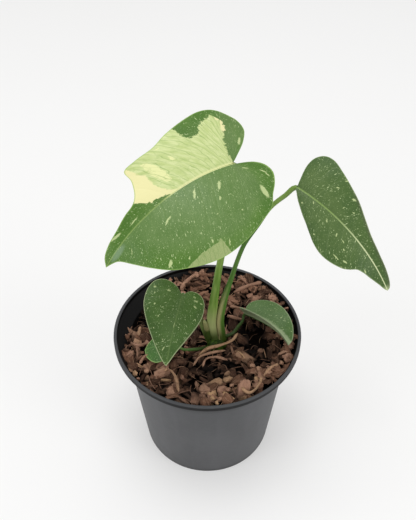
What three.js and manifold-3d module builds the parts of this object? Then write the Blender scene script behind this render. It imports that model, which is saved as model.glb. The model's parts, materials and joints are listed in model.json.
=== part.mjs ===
// A young variegated monstera in a round nursery pot.
// Millimetres, +Z up. The origin is the middle of the pot's underside. The large leaf
// points towards -X and -Y, the second leaf towards +X.

import * as THREE from "three";
import { mergeVertices } from "three/addons/utils/BufferGeometryUtils.js";
import Module from "manifold-3d";

const wasm = await Module();
wasm.setup();

const { degToRad, lerp, clamp } = THREE.MathUtils;

// Pieces that touch in life keep this clearance.
const CLEARANCE = 0.3;

// Pot: a thin-walled tapered tub with a flared collar and a narrow lip.
const POT_HEIGHT = 100;
const RIM_RADIUS = 60;
const LIP_HEIGHT = 3.2;
const LIP_WIDTH = 2;
const COLLAR_HEIGHT = 6.8;
const BODY_TOP_RADIUS = 52.8;
const BASE_RADIUS = 44.6;
const WALL = 1.4;
const FLOOR = 2;
const RECESS = 2.2;
const FOOT_WIDTH = 3.4;
const PAD_RADIUS = 9;
const EDGE_ROUND = 0.8;
const DRAIN_COUNT = 8;
const DRAIN_RADIUS = 4;
const DRAIN_CIRCLE = 31;
const DRAIN_SIDES = 14;
const POT_SIDES = 48;

// Potting mix: bark and husk chips, nearly up to the rim but lower at the back left.
const MIX_LEVEL = 92.4;
const MIX_TILT = 1;
const MIX_TILT_AZIMUTH = -35;
const MIX_EDGE_RISE = 3.4;
const BACK_HOLLOW = { x: -47, y: 22, reach: 18, depth: 6.5 };
const CROWN_HOLLOW = { x: 27, y: 2, reach: 10, depth: 2.4 };
const MIX_OVERLAP = 1;
const MIX_RINGS = 6;
const MIX_SIDES = 26;
const MIX_ROUGHNESS = 0.7;
const CHIP_COUNT = 86;
const CHIP_LENGTH = [7, 16];
const CHIP_WIDTH = [4, 8.5];
const CHIP_THICKNESS = [2.2, 4.2];
const CHIP_WEAR = [0.72, 1.08];
const CHIP_LIFT = [0.1, 0.45];
const CHIP_TILT = 32;
const CHIP_REACH = 57;
const CHIP_STRAY = 0.5;
const CHIP_SEED = 7;
const BLADE_AIR = 0.8;

// Crown: the short ringed stem that the leaf stalks stand on, sunk in the mix.
const CROWN_X = 6.2;
const CROWN_Y = -4.8;
const CROWN_RADIUS = 6.6;
const CROWN_TOP = 91.8;
const CROWN_DEPTH = 34;
const CROWN_SIDES = 16;
const CROWN_RINGS = 4;
const CROWN_TAPER = 6;
const CROWN_TAPER_RADIUS = 3.6;
const CROWN_NECK = 3;
const RING_HEIGHT = 1.2;
const RING_DEPTH = 0.45;
const CROWN_ROUND = [0.5, 1, 2];
const HOLE_HEADROOM = 8;

// Leaf blades.
const BLADE_THICKNESS = 0.8;
const MIDRIB_RELIEF = 1.1;
const MIDRIB_HALF_WIDTH = 1.2;
const VEIN_LEAN = 0.6;
const VEIN_BOW = 0.4;
const MIDRIB_STEPS = 64;

// A leaf's halves lie right and left of its heading. Each margin is a list of [along, across]
// points, from the notch at the stalk round the lobe towards the tip. The curve ends in the tip.
const LEAVES = {
  large: {
    base: [13.3, 4, 225.3],
    azimuth: 215.4,
    pitch: 8.7,
    roll: 30,
    length: 88,
    droop: 60.7,
    waveHeight: 0.7,
    waveCount: 4,
    columns: 44,
    rows: 4,
    right: {
      fold: 10,
      curl: 0.006,
      margin: [
        [-1, 0.8], [-6, 5.2], [-12.5, 11.3], [-15.8, 16.7], [-14.5, 22.5], [-9.5, 27], [-3, 30.5],
        [5, 31.8], [14, 30.3], [24, 27.5], [33, 24.2], [42, 24], [48.5, 23.4], [49, 17.5],
        [52, 11.5], [56, 8.4], [62, 7.4], [70, 5.8], [78, 4.9], [84, 3.2],
      ],
    },
    left: {
      fold: 12,
      curl: 0.011,
      margin: [
        [-2, 0.4], [-7, 1.5], [-12.5, 3], [-17.5, 6], [-19.8, 11], [-17.5, 17], [-12.5, 23],
        [-7.5, 29.5], [1, 34.3], [13, 39], [25, 41], [37, 41], [48, 38.6], [58, 34],
        [66.5, 28], [73, 19.5], [77.5, 11.5], [81.2, 4.4], [84.5, 1.8],
      ],
    },
  },
  right: {
    base: [48.6, 10, 205.7],
    azimuth: -34,
    pitch: -13.6,
    roll: -38,
    length: 77.8,
    droop: 44.2,
    bend: -2.2,
    waveHeight: 0.5,
    waveCount: 3,
    columns: 32,
    rows: 4,
    right: {
      fold: 8,
      curl: 0.012,
      margin: [
        [0.3, 1.6], [6.5, 6.8], [13, 11.2], [20.6, 15.5], [28.3, 18.8], [35.8, 19.9], [43, 19],
        [50.3, 16.2], [54, 13.1], [56.5, 9.8], [60.5, 7.6], [66, 5.6], [72, 2.8],
      ],
    },
    left: {
      fold: 8,
      curl: 0.008,
      margin: [
        [-0.2, 1.2], [-1, 7], [-1.6, 13], [-0.4, 18.2], [3, 22.2], [8, 23], [14.7, 20.4],
        [22, 17.3], [30, 14.2], [38.5, 10.3], [47, 7.1], [57, 5.2], [66, 4.3], [73, 3.2],
      ],
    },
  },
  heart: {
    base: [-14, -20, 152.4],
    azimuth: 253.9,
    pitch: -22.9,
    roll: 12,
    length: 40.9,
    droop: 21.7,
    bend: 2.3,
    waveHeight: 0.3,
    waveCount: 2,
    columns: 24,
    rows: 4,
    right: {
      fold: 8,
      curl: 0.014,
      margin: [
        [-1, 1.1], [-4.3, 5.3], [-6, 11], [-4.6, 16.4], [-0.5, 19.4], [5, 20.4], [11, 19.6],
        [18, 16.4], [26, 11.5], [33.5, 6.4], [39, 2.2],
      ],
    },
    left: {
      fold: 8,
      curl: 0.014,
      margin: [
        [-0.9, 0.9], [-3, 3.5], [-3.1, 7.6], [-1, 11.5], [3.2, 13.7], [9.7, 14.1], [16.6, 12.2],
        [25, 8.2], [33, 3.9], [38, 1.6],
      ],
    },
  },
  low_left: {
    base: [-19.9, -13.3, 100.5],
    azimuth: 188,
    pitch: 14,
    roll: 0,
    length: 20,
    droop: 40,
    columns: 14,
    rows: 3,
    right: {
      fold: 12,
      curl: 0.03,
      margin: [[-0.8, 0.9], [-2.6, 3.4], [-2.6, 6.8], [0.5, 8.8], [6, 9], [11.5, 7.2], [16.5, 3.8]],
    },
    left: {
      fold: 12,
      curl: 0.03,
      margin: [[-0.8, 1], [-2.2, 3.2], [-2, 6.2], [1, 8.2], [6, 8.6], [11.5, 6.9], [16.5, 3.6]],
    },
  },
  low_right: {
    base: [25.1, 12.2, 101.4],
    azimuth: -43.9,
    pitch: 15.2,
    roll: -10,
    length: 38.3,
    droop: 65.1,
    droopPower: 2.4,
    columns: 20,
    rows: 4,
    right: {
      fold: 80,
      curl: 0.02,
      margin: [
        [-1, 1.2], [-2.2, 3], [-2, 5.8], [1.5, 8.2], [8, 9.6], [16, 9.8], [24, 8.4],
        [31, 5.6], [36, 2.4],
      ],
    },
    left: {
      fold: 17,
      curl: 0.02,
      margin: [
        [-0.8, 1.2], [-2.2, 3.5], [-2, 7.5], [1, 11.2], [6, 13.8], [12, 15.3], [18, 15.2],
        [24, 13.5], [29.5, 10.6], [34, 6.8], [37, 3.4],
      ],
    },
  },
};

// Leaf stalks: [x, y, z, radius] from the foot on the crown to just short of the blade.
const STALKS = {
  large: [
    [6.2, -4.6, 92.8, 2.2], [4, -4.2, 101, 2.5], [2.3, -3.6, 112, 2.65], [3.4, -2.5, 125, 2.55],
    [4.9, -1.5, 137, 2.35], [6.1, -0.4, 148, 2.1], [8.4, 1.2, 165, 1.9], [11, 4, 188, 1.75],
    [13.4, 6.6, 205, 1.6], [14.9, 7.6, 214, 1.55],
  ],
  right: [
    [10.4, -5, 92.8, 1.6], [9.1, -4.6, 101, 1.8], [7.3, -3.9, 112, 1.95], [8.6, -2.4, 125, 2.1],
    [11.9, -1, 137, 1.95], [14.8, 0.2, 148, 1.6], [17, 1.2, 157, 1.5], [21, 3, 169.7, 1.4],
    [28.3, 5, 183, 1.35], [35.6, 7.8, 194.3, 1.3], [42.7, 10.6, 199.3, 1.4],
  ],
  heart: [
    [1.6, -4.4, 92.8, 1.8], [-1.4, -3.4, 101, 2.1], [-4.6, -2.8, 113, 1.8], [-8.6, -4, 127, 1.4],
    [-12.4, -8, 142, 1.2], [-14, -12.4, 151, 1.2],
  ],
  low_left: [
    [3.6, -9, 94, 1.2], [-2.5, -11.6, 94.4, 1.15], [-9, -13.4, 95.2, 1], [-14.5, -13.4, 95, 0.9],
  ],
  low_right: [
    [10.7, -1.8, 94.2, 1.2], [15.4, -0.6, 94.8, 1.15], [20.3, 5.6, 95.4, 1], [23.4, 11, 95.6, 0.9],
  ],
};
const STALK_SIDES = 9;
const STALK_STEP = 5.5;
const KNEE_LENGTH = 2.4;
const KNEE_SWELL = 1.1;

const POT_LOOK = { color: 0x58595b, roughness: 0.62, metalness: 0 };
const MIX_LOOK = { color: 0x6a4a38, roughness: 0.95, metalness: 0 };
const CROWN_LOOK = { color: 0x66743c, roughness: 0.6, metalness: 0 };
const STALK_LOOK = { color: 0x6c8f3e, roughness: 0.45, metalness: 0 };
const LEAF_LOOK = { color: 0x4a7038, roughness: 0.4, metalness: 0 };
const VARIEGATED_LOOK = { color: 0x8fa860, roughness: 0.4, metalness: 0 };

const plant = new THREE.Group();

function addPiece(name, geometry, look) {
  const mesh = new THREE.Mesh(geometry, new THREE.MeshStandardMaterial(look));
  mesh.name = name;
  plant.add(mesh);
}

// Shares the vertices of a closed geometry and turns its faces to point outwards.
function closed(geometry) {
  geometry.deleteAttribute("normal");
  geometry.deleteAttribute("uv");
  const merged = mergeVertices(geometry, 1e-4);
  const place = merged.attributes.position;
  const corner = [new THREE.Vector3(), new THREE.Vector3(), new THREE.Vector3()];
  const kept = [];
  let volume = 0;
  for (let i = 0; i < merged.index.count; i += 3) {
    const face = [0, 1, 2].map((k) => merged.index.getX(i + k));
    if (new Set(face).size < 3) continue;
    face.forEach((vertex, k) => corner[k].fromBufferAttribute(place, vertex));
    volume += corner[0].dot(corner[1].clone().cross(corner[2]));
    kept.push(face);
  }
  merged.setIndex(kept.flatMap((face) => (volume < 0 ? [face[0], face[2], face[1]] : face)));
  return merged;
}

function toSolid(geometry) {
  const shape = closed(geometry);
  return new wasm.Manifold(new wasm.Mesh({
    numProp: 3,
    vertProperties: Float32Array.from(shape.attributes.position.array),
    triVerts: Uint32Array.from(shape.index.array),
  }));
}

function toGeometry(solid) {
  const mesh = solid.getMesh();
  const geometry = new THREE.BufferGeometry();
  geometry.setAttribute("position", new THREE.Float32BufferAttribute(mesh.vertProperties, 3));
  geometry.setIndex(Array.from(mesh.triVerts));
  geometry.computeVertexNormals();
  return geometry;
}

// A body turned round the Z axis from [radius, height] points.
function turned(profile, sides) {
  const points = profile.map(([radius, height]) => new THREE.Vector2(radius, height));
  return new THREE.LatheGeometry(points, sides).rotateX(Math.PI / 2);
}

// Seeded random numbers, so that the chips fall the same way every time.
function randomSource(seed) {
  let state = seed;
  return () => {
    state = (state + 0x6d2b79f5) | 0;
    let t = Math.imul(state ^ (state >>> 15), 1 | state);
    t = (t + Math.imul(t ^ (t >>> 7), 61 | t)) ^ t;
    return ((t ^ (t >>> 14)) >>> 0) / 4294967296;
  };
}

// Inside face of the pot, drawn in by an inset, from the floor to the mouth.
function innerWall(inset) {
  return [
    [BASE_RADIUS - WALL - inset, RECESS + FLOOR + inset],
    [BODY_TOP_RADIUS - WALL - inset, POT_HEIGHT - LIP_HEIGHT - COLLAR_HEIGHT],
    [RIM_RADIUS - LIP_WIDTH - inset, POT_HEIGHT - LIP_HEIGHT],
  ];
}

function makePot() {
  const profile = [
    [0, 0],
    [PAD_RADIUS, 0],
    [PAD_RADIUS + EDGE_ROUND, RECESS],
    [BASE_RADIUS - FOOT_WIDTH - EDGE_ROUND, RECESS],
    [BASE_RADIUS - FOOT_WIDTH, 0],
    [BASE_RADIUS - EDGE_ROUND, 0],
    [BASE_RADIUS, EDGE_ROUND],
    [BODY_TOP_RADIUS, POT_HEIGHT - LIP_HEIGHT - COLLAR_HEIGHT],
    [RIM_RADIUS - EDGE_ROUND, POT_HEIGHT - LIP_HEIGHT - EDGE_ROUND],
    [RIM_RADIUS, POT_HEIGHT - LIP_HEIGHT],
    [RIM_RADIUS, POT_HEIGHT - EDGE_ROUND],
    [RIM_RADIUS - EDGE_ROUND, POT_HEIGHT],
    [RIM_RADIUS - LIP_WIDTH + EDGE_ROUND / 2, POT_HEIGHT],
    [RIM_RADIUS - LIP_WIDTH, POT_HEIGHT - EDGE_ROUND / 2],
    ...innerWall(0).reverse(),
    [0, RECESS + FLOOR],
  ];
  let pot = toSolid(turned(profile, POT_SIDES));
  for (let i = 0; i < DRAIN_COUNT; i++) {
    const azimuth = (2 * Math.PI * i) / DRAIN_COUNT;
    const depth = 4 * (RECESS + FLOOR);
    const drain = new THREE.CylinderGeometry(DRAIN_RADIUS, DRAIN_RADIUS, depth, DRAIN_SIDES);
    drain.rotateX(Math.PI / 2);
    drain.translate(DRAIN_CIRCLE * Math.cos(azimuth), DRAIN_CIRCLE * Math.sin(azimuth), 0);
    pot = pot.subtract(toSolid(drain));
  }
  return toGeometry(pot);
}

function hollowDepth(hollow, x, y) {
  const distance = Math.hypot(x - hollow.x, y - hollow.y) / hollow.reach;
  return hollow.depth * Math.exp(-(distance ** 2) / 2);
}

// Height of the mix: a shallow dish with a hollow at the back left and one beside the crown.
function mixHeight(x, y) {
  const tilt = degToRad(MIX_TILT_AZIMUTH);
  const slope = (MIX_TILT * (x * Math.cos(tilt) + y * Math.sin(tilt))) / BODY_TOP_RADIUS;
  const rise = MIX_EDGE_RISE * (Math.hypot(x, y) / RIM_RADIUS) ** 2;
  const hollows = hollowDepth(BACK_HOLLOW, x, y) + hollowDepth(CROWN_HOLLOW, x, y);
  return MIX_LEVEL + slope + rise - hollows;
}

function makeMixBed(random) {
  const edge = RIM_RADIUS + MIX_OVERLAP;
  const profile = [[0, 0], [edge, 0]];
  for (let ring = MIX_RINGS; ring >= 0; ring--) {
    profile.push([(edge * ring) / MIX_RINGS, MIX_LEVEL]);
  }
  const bed = closed(turned(profile, MIX_SIDES));
  const place = bed.attributes.position;
  for (let i = 0; i < place.count; i++) {
    if (place.getZ(i) < MIX_LEVEL / 2) continue;
    const bump = MIX_ROUGHNESS * (2 * random() - 1);
    place.setZ(i, mixHeight(place.getX(i), place.getY(i)) + bump);
  }
  return toSolid(bed);
}

// One chip: a small block with uneven corners, lying where the spiral rule puts it.
function makeChip(index, random) {
  const pick = ([low, high]) => lerp(low, high, random());
  const thickness = pick(CHIP_THICKNESS);
  const chip = closed(new THREE.BoxGeometry(pick(CHIP_LENGTH), pick(CHIP_WIDTH), thickness));
  const place = chip.attributes.position;
  for (let i = 0; i < place.count; i++) {
    const wear = pick(CHIP_WEAR);
    place.setXYZ(i, place.getX(i) * wear, place.getY(i) * wear, place.getZ(i) * wear);
  }
  const goldenAngle = Math.PI * (3 - Math.sqrt(5));
  const radius = CHIP_REACH * Math.sqrt((index + 0.5) / CHIP_COUNT);
  const azimuth = index * goldenAngle + CHIP_STRAY * random();
  const x = radius * Math.cos(azimuth);
  const y = radius * Math.sin(azimuth);
  chip.rotateX(degToRad(CHIP_TILT) * (2 * random() - 1));
  chip.rotateY(degToRad(CHIP_TILT) * (2 * random() - 1));
  chip.rotateZ(2 * Math.PI * random());
  chip.translate(x, y, mixHeight(x, y) + thickness * pick(CHIP_LIFT));
  return toSolid(chip);
}

// The mix is cut back from the pot's wall, and has plain holes for the crown and the stalks.
// Chips that would touch a low blade are left out.
function makeMix(holes, lowBlades) {
  const random = randomSource(CHIP_SEED);
  let mix = makeMixBed(random);
  for (let i = 0; i < CHIP_COUNT; i++) {
    const chip = makeChip(i, random);
    if (lowBlades.every((blade) => chip.minGap(blade, BLADE_AIR) >= BLADE_AIR)) mix = mix.add(chip);
  }
  const mouth = POT_HEIGHT + LIP_WIDTH;
  const space = [[0, RECESS + FLOOR + CLEARANCE], ...innerWall(CLEARANCE)];
  space.push([RIM_RADIUS - LIP_WIDTH - CLEARANCE, mouth], [0, mouth]);
  mix = mix.intersect(toSolid(turned(space, POT_SIDES)));
  for (const hole of holes) {
    mix = mix.subtract(toSolid(hole));
  }
  const bodies = mix.decompose().sort((a, b) => b.volume() - a.volume());
  return toGeometry(bodies[0]);
}

function makeCrown() {
  const foot = CROWN_TOP - CROWN_DEPTH;
  const profile = [[0, foot], [CROWN_TAPER_RADIUS, foot]];
  for (let ring = 0; ring < CROWN_RINGS; ring++) {
    const height = lerp(foot + CROWN_TAPER, CROWN_TOP - CROWN_NECK, ring / (CROWN_RINGS - 1));
    profile.push([CROWN_RADIUS - RING_DEPTH, height - RING_HEIGHT], [CROWN_RADIUS, height]);
  }
  const [drop, shoulder, top] = CROWN_ROUND;
  profile.push([CROWN_RADIUS - shoulder, CROWN_TOP - drop], [CROWN_RADIUS - top, CROWN_TOP]);
  profile.push([0, CROWN_TOP]);
  return closed(turned(profile, CROWN_SIDES).translate(CROWN_X, CROWN_Y, 0));
}

// The space that the crown takes in the mix, open at the top round the feet of the stalks.
function makeCrownHole() {
  const radius = CROWN_RADIUS + CLEARANCE;
  const depth = CROWN_DEPTH + CLEARANCE + HOLE_HEADROOM;
  const hole = new THREE.CylinderGeometry(radius, radius, depth, CROWN_SIDES).rotateX(Math.PI / 2);
  return hole.translate(CROWN_X, CROWN_Y, CROWN_TOP + HOLE_HEADROOM - depth / 2);
}

// The midrib as a table of places and directions, bending down along its length.
function traceMidrib(leaf) {
  const heading = (share) => {
    const pitch = degToRad(leaf.pitch - leaf.droop * share ** (leaf.droopPower ?? 1));
    const azimuth = degToRad(leaf.azimuth + (leaf.bend ?? 0) * share);
    return new THREE.Vector3(
      Math.cos(pitch) * Math.cos(azimuth), Math.cos(pitch) * Math.sin(azimuth), Math.sin(pitch),
    );
  };
  const step = leaf.length / MIDRIB_STEPS;
  const points = [new THREE.Vector3(...leaf.base)];
  for (let i = 1; i <= MIDRIB_STEPS; i++) {
    const middle = heading((i - 0.5) / MIDRIB_STEPS);
    points.push(points[i - 1].clone().addScaledVector(middle, step));
  }
  return { points, heading, step };
}

// The midrib's place and its three directions at a distance along the leaf.
function frameAt(leaf, midrib, along) {
  const reach = clamp(along, 0, leaf.length);
  const index = Math.min(Math.floor(reach / midrib.step), MIDRIB_STEPS - 1);
  const share = reach / midrib.step - index;
  const place = midrib.points[index].clone().lerp(midrib.points[index + 1], share);
  const forward = midrib.heading(reach / leaf.length);
  const side = forward.clone().cross(new THREE.Vector3(0, 0, 1)).normalize();
  const up = side.clone().cross(forward);
  const roll = degToRad(leaf.roll);
  const across = side.clone().multiplyScalar(Math.cos(roll)).addScaledVector(up, Math.sin(roll));
  const normal = up.multiplyScalar(Math.cos(roll)).addScaledVector(side, -Math.sin(roll));
  place.addScaledVector(forward, Math.min(along, 0));
  return { place, across, normal };
}

// A point of the blade: each half rises from the midrib by its fold and curls down outwards.
// A height above zero is over the upper face.
function bladePoint(leaf, midrib, half, sign, along, width, height) {
  const { place, across, normal } = frameAt(leaf, midrib, along);
  const fold = degToRad(half.fold);
  const turn = fold - half.curl * width;
  const out = (Math.sin(fold) - Math.sin(turn)) / half.curl;
  const rise = (Math.cos(turn) - Math.cos(fold)) / half.curl;
  const lean = width > 0 ? turn : 0;
  place.addScaledVector(across, sign * (out - height * Math.sin(lean)));
  return place.addScaledVector(normal, rise + height * Math.cos(lean));
}

// Evenly spaced points of a half's margin, from the notch to the tip.
function traceMargin(leaf, half) {
  const outline = [...half.margin, [leaf.length, 0]].map(([s, w]) => new THREE.Vector2(s, w));
  return new THREE.SplineCurve(outline).getSpacedPoints(leaf.columns);
}

// Where the side veins leave the midrib: both halves share one place for each column.
function traceRoots(leaf, margins) {
  const root = (edge) => clamp(edge.x - VEIN_LEAN * edge.y, 0, leaf.length);
  return margins[0].map((edge, column) => (root(edge) + root(margins[1][column])) / 2);
}

// Rows of one half as [along, width, wave] points, from the midrib to the margin, with each
// column lying along a side vein.
function bladeGrid(leaf, margin, roots) {
  return margin.map((edge, column) => {
    const width = Math.max(edge.y, 0);
    const ripple = Math.sin((2 * Math.PI * (leaf.waveCount ?? 0) * column) / leaf.columns);
    const ridge = Math.min(MIDRIB_HALF_WIDTH / Math.max(width, MIDRIB_HALF_WIDTH), 1 / leaf.rows);
    return Array.from({ length: leaf.rows + 1 }, (_, row) => {
      const share = row === 0 ? 0 : lerp(ridge, 1, (row - 1) / (leaf.rows - 1));
      const along = lerp(roots[column], edge.x, lerp(share, share ** 2, VEIN_BOW));
      return [along, width * share, (leaf.waveHeight ?? 0) * ripple * share ** 2];
    });
  });
}

// A blade is one closed body. Its upper and lower faces are split into triangles alike.
function makeBlade(leaf) {
  const midrib = traceMidrib(leaf);
  const halves = [leaf.right, leaf.left];
  const margins = halves.map((half) => traceMargin(leaf, half));
  const roots = traceRoots(leaf, margins);
  const positions = [];
  const faces = [];
  const addQuad = ([a, b, c, d], flip) => {
    faces.push(...(flip ? [a, c, b, a, d, c] : [a, b, c, a, c, d]));
  };
  halves.forEach((half, index) => {
    const sign = index === 0 ? 1 : -1;
    const start = positions.length / 3;
    const upper = (column, row) => start + 2 * (column * (leaf.rows + 1) + row);
    const lower = (column, row) => upper(column, row) + 1;
    for (const points of bladeGrid(leaf, margins[index], roots)) {
      points.forEach(([along, width, wave], row) => {
        const relief = row === 0 ? MIDRIB_RELIEF * (1 - along / leaf.length) : 0;
        const depth = BLADE_THICKNESS + relief;
        for (const height of [wave, wave - depth]) {
          positions.push(...bladePoint(leaf, midrib, half, sign, along, width, height).toArray());
        }
      });
    }
    const addWall = (from, to) => {
      addQuad([upper(...from), lower(...from), lower(...to), upper(...to)], sign < 0);
    };
    for (let column = 0; column < leaf.columns; column++) {
      for (let row = 0; row < leaf.rows; row++) {
        const corners = [[column, row], [column, row + 1], [column + 1, row + 1], [column + 1, row]];
        addQuad(corners.map((corner) => upper(...corner)), sign < 0);
        addQuad(corners.map((corner) => lower(...corner)), sign > 0);
      }
      addWall([column, leaf.rows], [column + 1, leaf.rows]);
    }
    for (let row = 0; row < leaf.rows; row++) {
      addWall([0, row], [0, row + 1]);
    }
  });
  const geometry = new THREE.BufferGeometry();
  geometry.setAttribute("position", new THREE.Float32BufferAttribute(positions, 3));
  geometry.setIndex(faces);
  return closed(geometry);
}

// A leaf stalk: a tapered tube on a smooth curve, whose knee turns into the line of the blade.
// A growth makes it wider all along, which gives the space that it takes in the mix.
function makeStalk(route, leaf, growth = 0) {
  const midrib = traceMidrib(leaf);
  const { normal } = frameAt(leaf, midrib, 0);
  const last = route[route.length - 1];
  const forward = midrib.heading(0);
  const depth = BLADE_THICKNESS + MIDRIB_RELIEF + CLEARANCE + last[3] * Math.SQRT1_2;
  const end = new THREE.Vector3(...leaf.base).addScaledVector(normal, -depth);
  const knee = end.clone().addScaledVector(forward, -KNEE_LENGTH).addScaledVector(normal, -KNEE_LENGTH);
  const places = [...route.map(([x, y, z]) => new THREE.Vector3(x, y, z)), knee, end];
  const radii = [...route.map((point) => point[3]), last[3] * KNEE_SWELL, last[3]];
  const curve = new THREE.CatmullRomCurve3(places, false, "centripetal");
  const steps = Math.ceil(curve.getLength() / STALK_STEP) + 2;
  const frames = curve.computeFrenetFrames(steps, false);
  const tube = closed(new THREE.CylinderGeometry(1, 1, 1, STALK_SIDES, steps));
  const place = tube.attributes.position;
  for (let i = 0; i < place.count; i++) {
    const share = clamp(place.getY(i) + 0.5, 0, 1);
    const station = Math.round(share * steps);
    const knot = curve.getUtoTmapping(share) * (radii.length - 1);
    const first = Math.min(Math.floor(knot), radii.length - 2);
    const radius = lerp(radii[first], radii[first + 1], knot - first) + growth;
    const point = curve.getPointAt(share)
      .addScaledVector(frames.normals[station], place.getX(i) * radius)
      .addScaledVector(frames.binormals[station], place.getZ(i) * radius);
    place.setXYZ(i, point.x, point.y, point.z);
  }
  return closed(tube);
}

const crown = makeCrown();
const blades = {};
const stalks = {};
const holes = [makeCrownHole()];
for (const [name, leaf] of Object.entries(LEAVES)) {
  blades[name] = makeBlade(leaf);
  stalks[name] = makeStalk(STALKS[name], leaf);
  holes.push(makeStalk(STALKS[name], leaf, CLEARANCE));
}
const lowBlades = [toSolid(blades.low_left), toSolid(blades.low_right)];

addPiece("pot", makePot(), POT_LOOK);
addPiece("potting_mix", makeMix(holes, lowBlades), MIX_LOOK);
addPiece("stem", crown, CROWN_LOOK);
for (const name of Object.keys(LEAVES)) {
  addPiece(`petiole_${name}`, stalks[name], STALK_LOOK);
  addPiece(`leaf_${name}`, blades[name], name === "large" ? VARIEGATED_LOOK : LEAF_LOOK);
}

export default plant;
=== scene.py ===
# %% [markdown]
# # A young variegated monstera in a nursery pot
#
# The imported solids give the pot, the mix, the stalks and the leaves their places. This lesson
# builds the looks around them: thin leaves with veins and cream sectors, tapered stalks, a mix
# of bark and husk, and the grey plastic of the pot. Lengths are in metres, +Z is up and the
# origin is the middle of the pot's underside. Tables that follow the plant are in millimetres.

import json
import math
from contextlib import contextmanager
from functools import reduce

import bpy
import numpy as np
from mathutils import Matrix, Vector

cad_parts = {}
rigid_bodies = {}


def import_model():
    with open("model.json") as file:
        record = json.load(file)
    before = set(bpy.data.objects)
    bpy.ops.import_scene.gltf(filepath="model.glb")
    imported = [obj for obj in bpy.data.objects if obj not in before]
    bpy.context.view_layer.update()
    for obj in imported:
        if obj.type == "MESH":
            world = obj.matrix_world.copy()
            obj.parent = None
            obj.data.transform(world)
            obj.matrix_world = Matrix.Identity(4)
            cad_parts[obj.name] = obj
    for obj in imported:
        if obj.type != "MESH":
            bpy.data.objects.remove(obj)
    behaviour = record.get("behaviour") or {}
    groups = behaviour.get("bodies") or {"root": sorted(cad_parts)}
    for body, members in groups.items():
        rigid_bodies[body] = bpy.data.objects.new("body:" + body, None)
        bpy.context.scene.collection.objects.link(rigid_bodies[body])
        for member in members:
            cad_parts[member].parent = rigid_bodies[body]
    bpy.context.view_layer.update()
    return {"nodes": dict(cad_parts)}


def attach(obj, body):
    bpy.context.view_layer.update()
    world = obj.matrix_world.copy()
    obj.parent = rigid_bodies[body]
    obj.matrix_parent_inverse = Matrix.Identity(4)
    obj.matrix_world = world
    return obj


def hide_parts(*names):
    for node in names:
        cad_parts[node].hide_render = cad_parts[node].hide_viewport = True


for leftover in list(bpy.data.objects):
    bpy.data.objects.remove(leftover)
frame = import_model()
MM = 0.001
BODY = "root"
print("nodes in the frame:", sorted(frame["nodes"]))

# %% [markdown]
# ## Node arithmetic
#
# A procedural material is a sum of many small steps. Written with + and *, they read as a
# formula. One class wraps a node's output and makes the node that each sign stands for. One
# more method makes any other node.

# %% Links, curves and maths nodes
def link(given, socket):
    """Links a value to a socket, or sets a number, a vector or the colour of a code on it."""
    if isinstance(given, Value):
        given.tree.links.new(given.socket, socket)
    else:
        socket.default_value = colour(given) if isinstance(given, str) else given


def set_curve(mapping, places):
    """Moves the points of a node's curve to the places, with straight lines between them."""
    curve = mapping.curves[0]
    for _ in places[2:]:
        curve.points.new(0.5, 0.5)
    for knot, place in zip(curve.points, places):
        knot.location = place
        knot.handle_type = "VECTOR"
    mapping.update()


def maths(operation, swapped=False):
    """A method that adds a Math node for a value and whatever it is given."""

    def method(self, *others):
        given = (*others, self) if swapped else (self, *others)
        return self.node("Math", dict(enumerate(given)), operation=operation)

    return method

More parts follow.
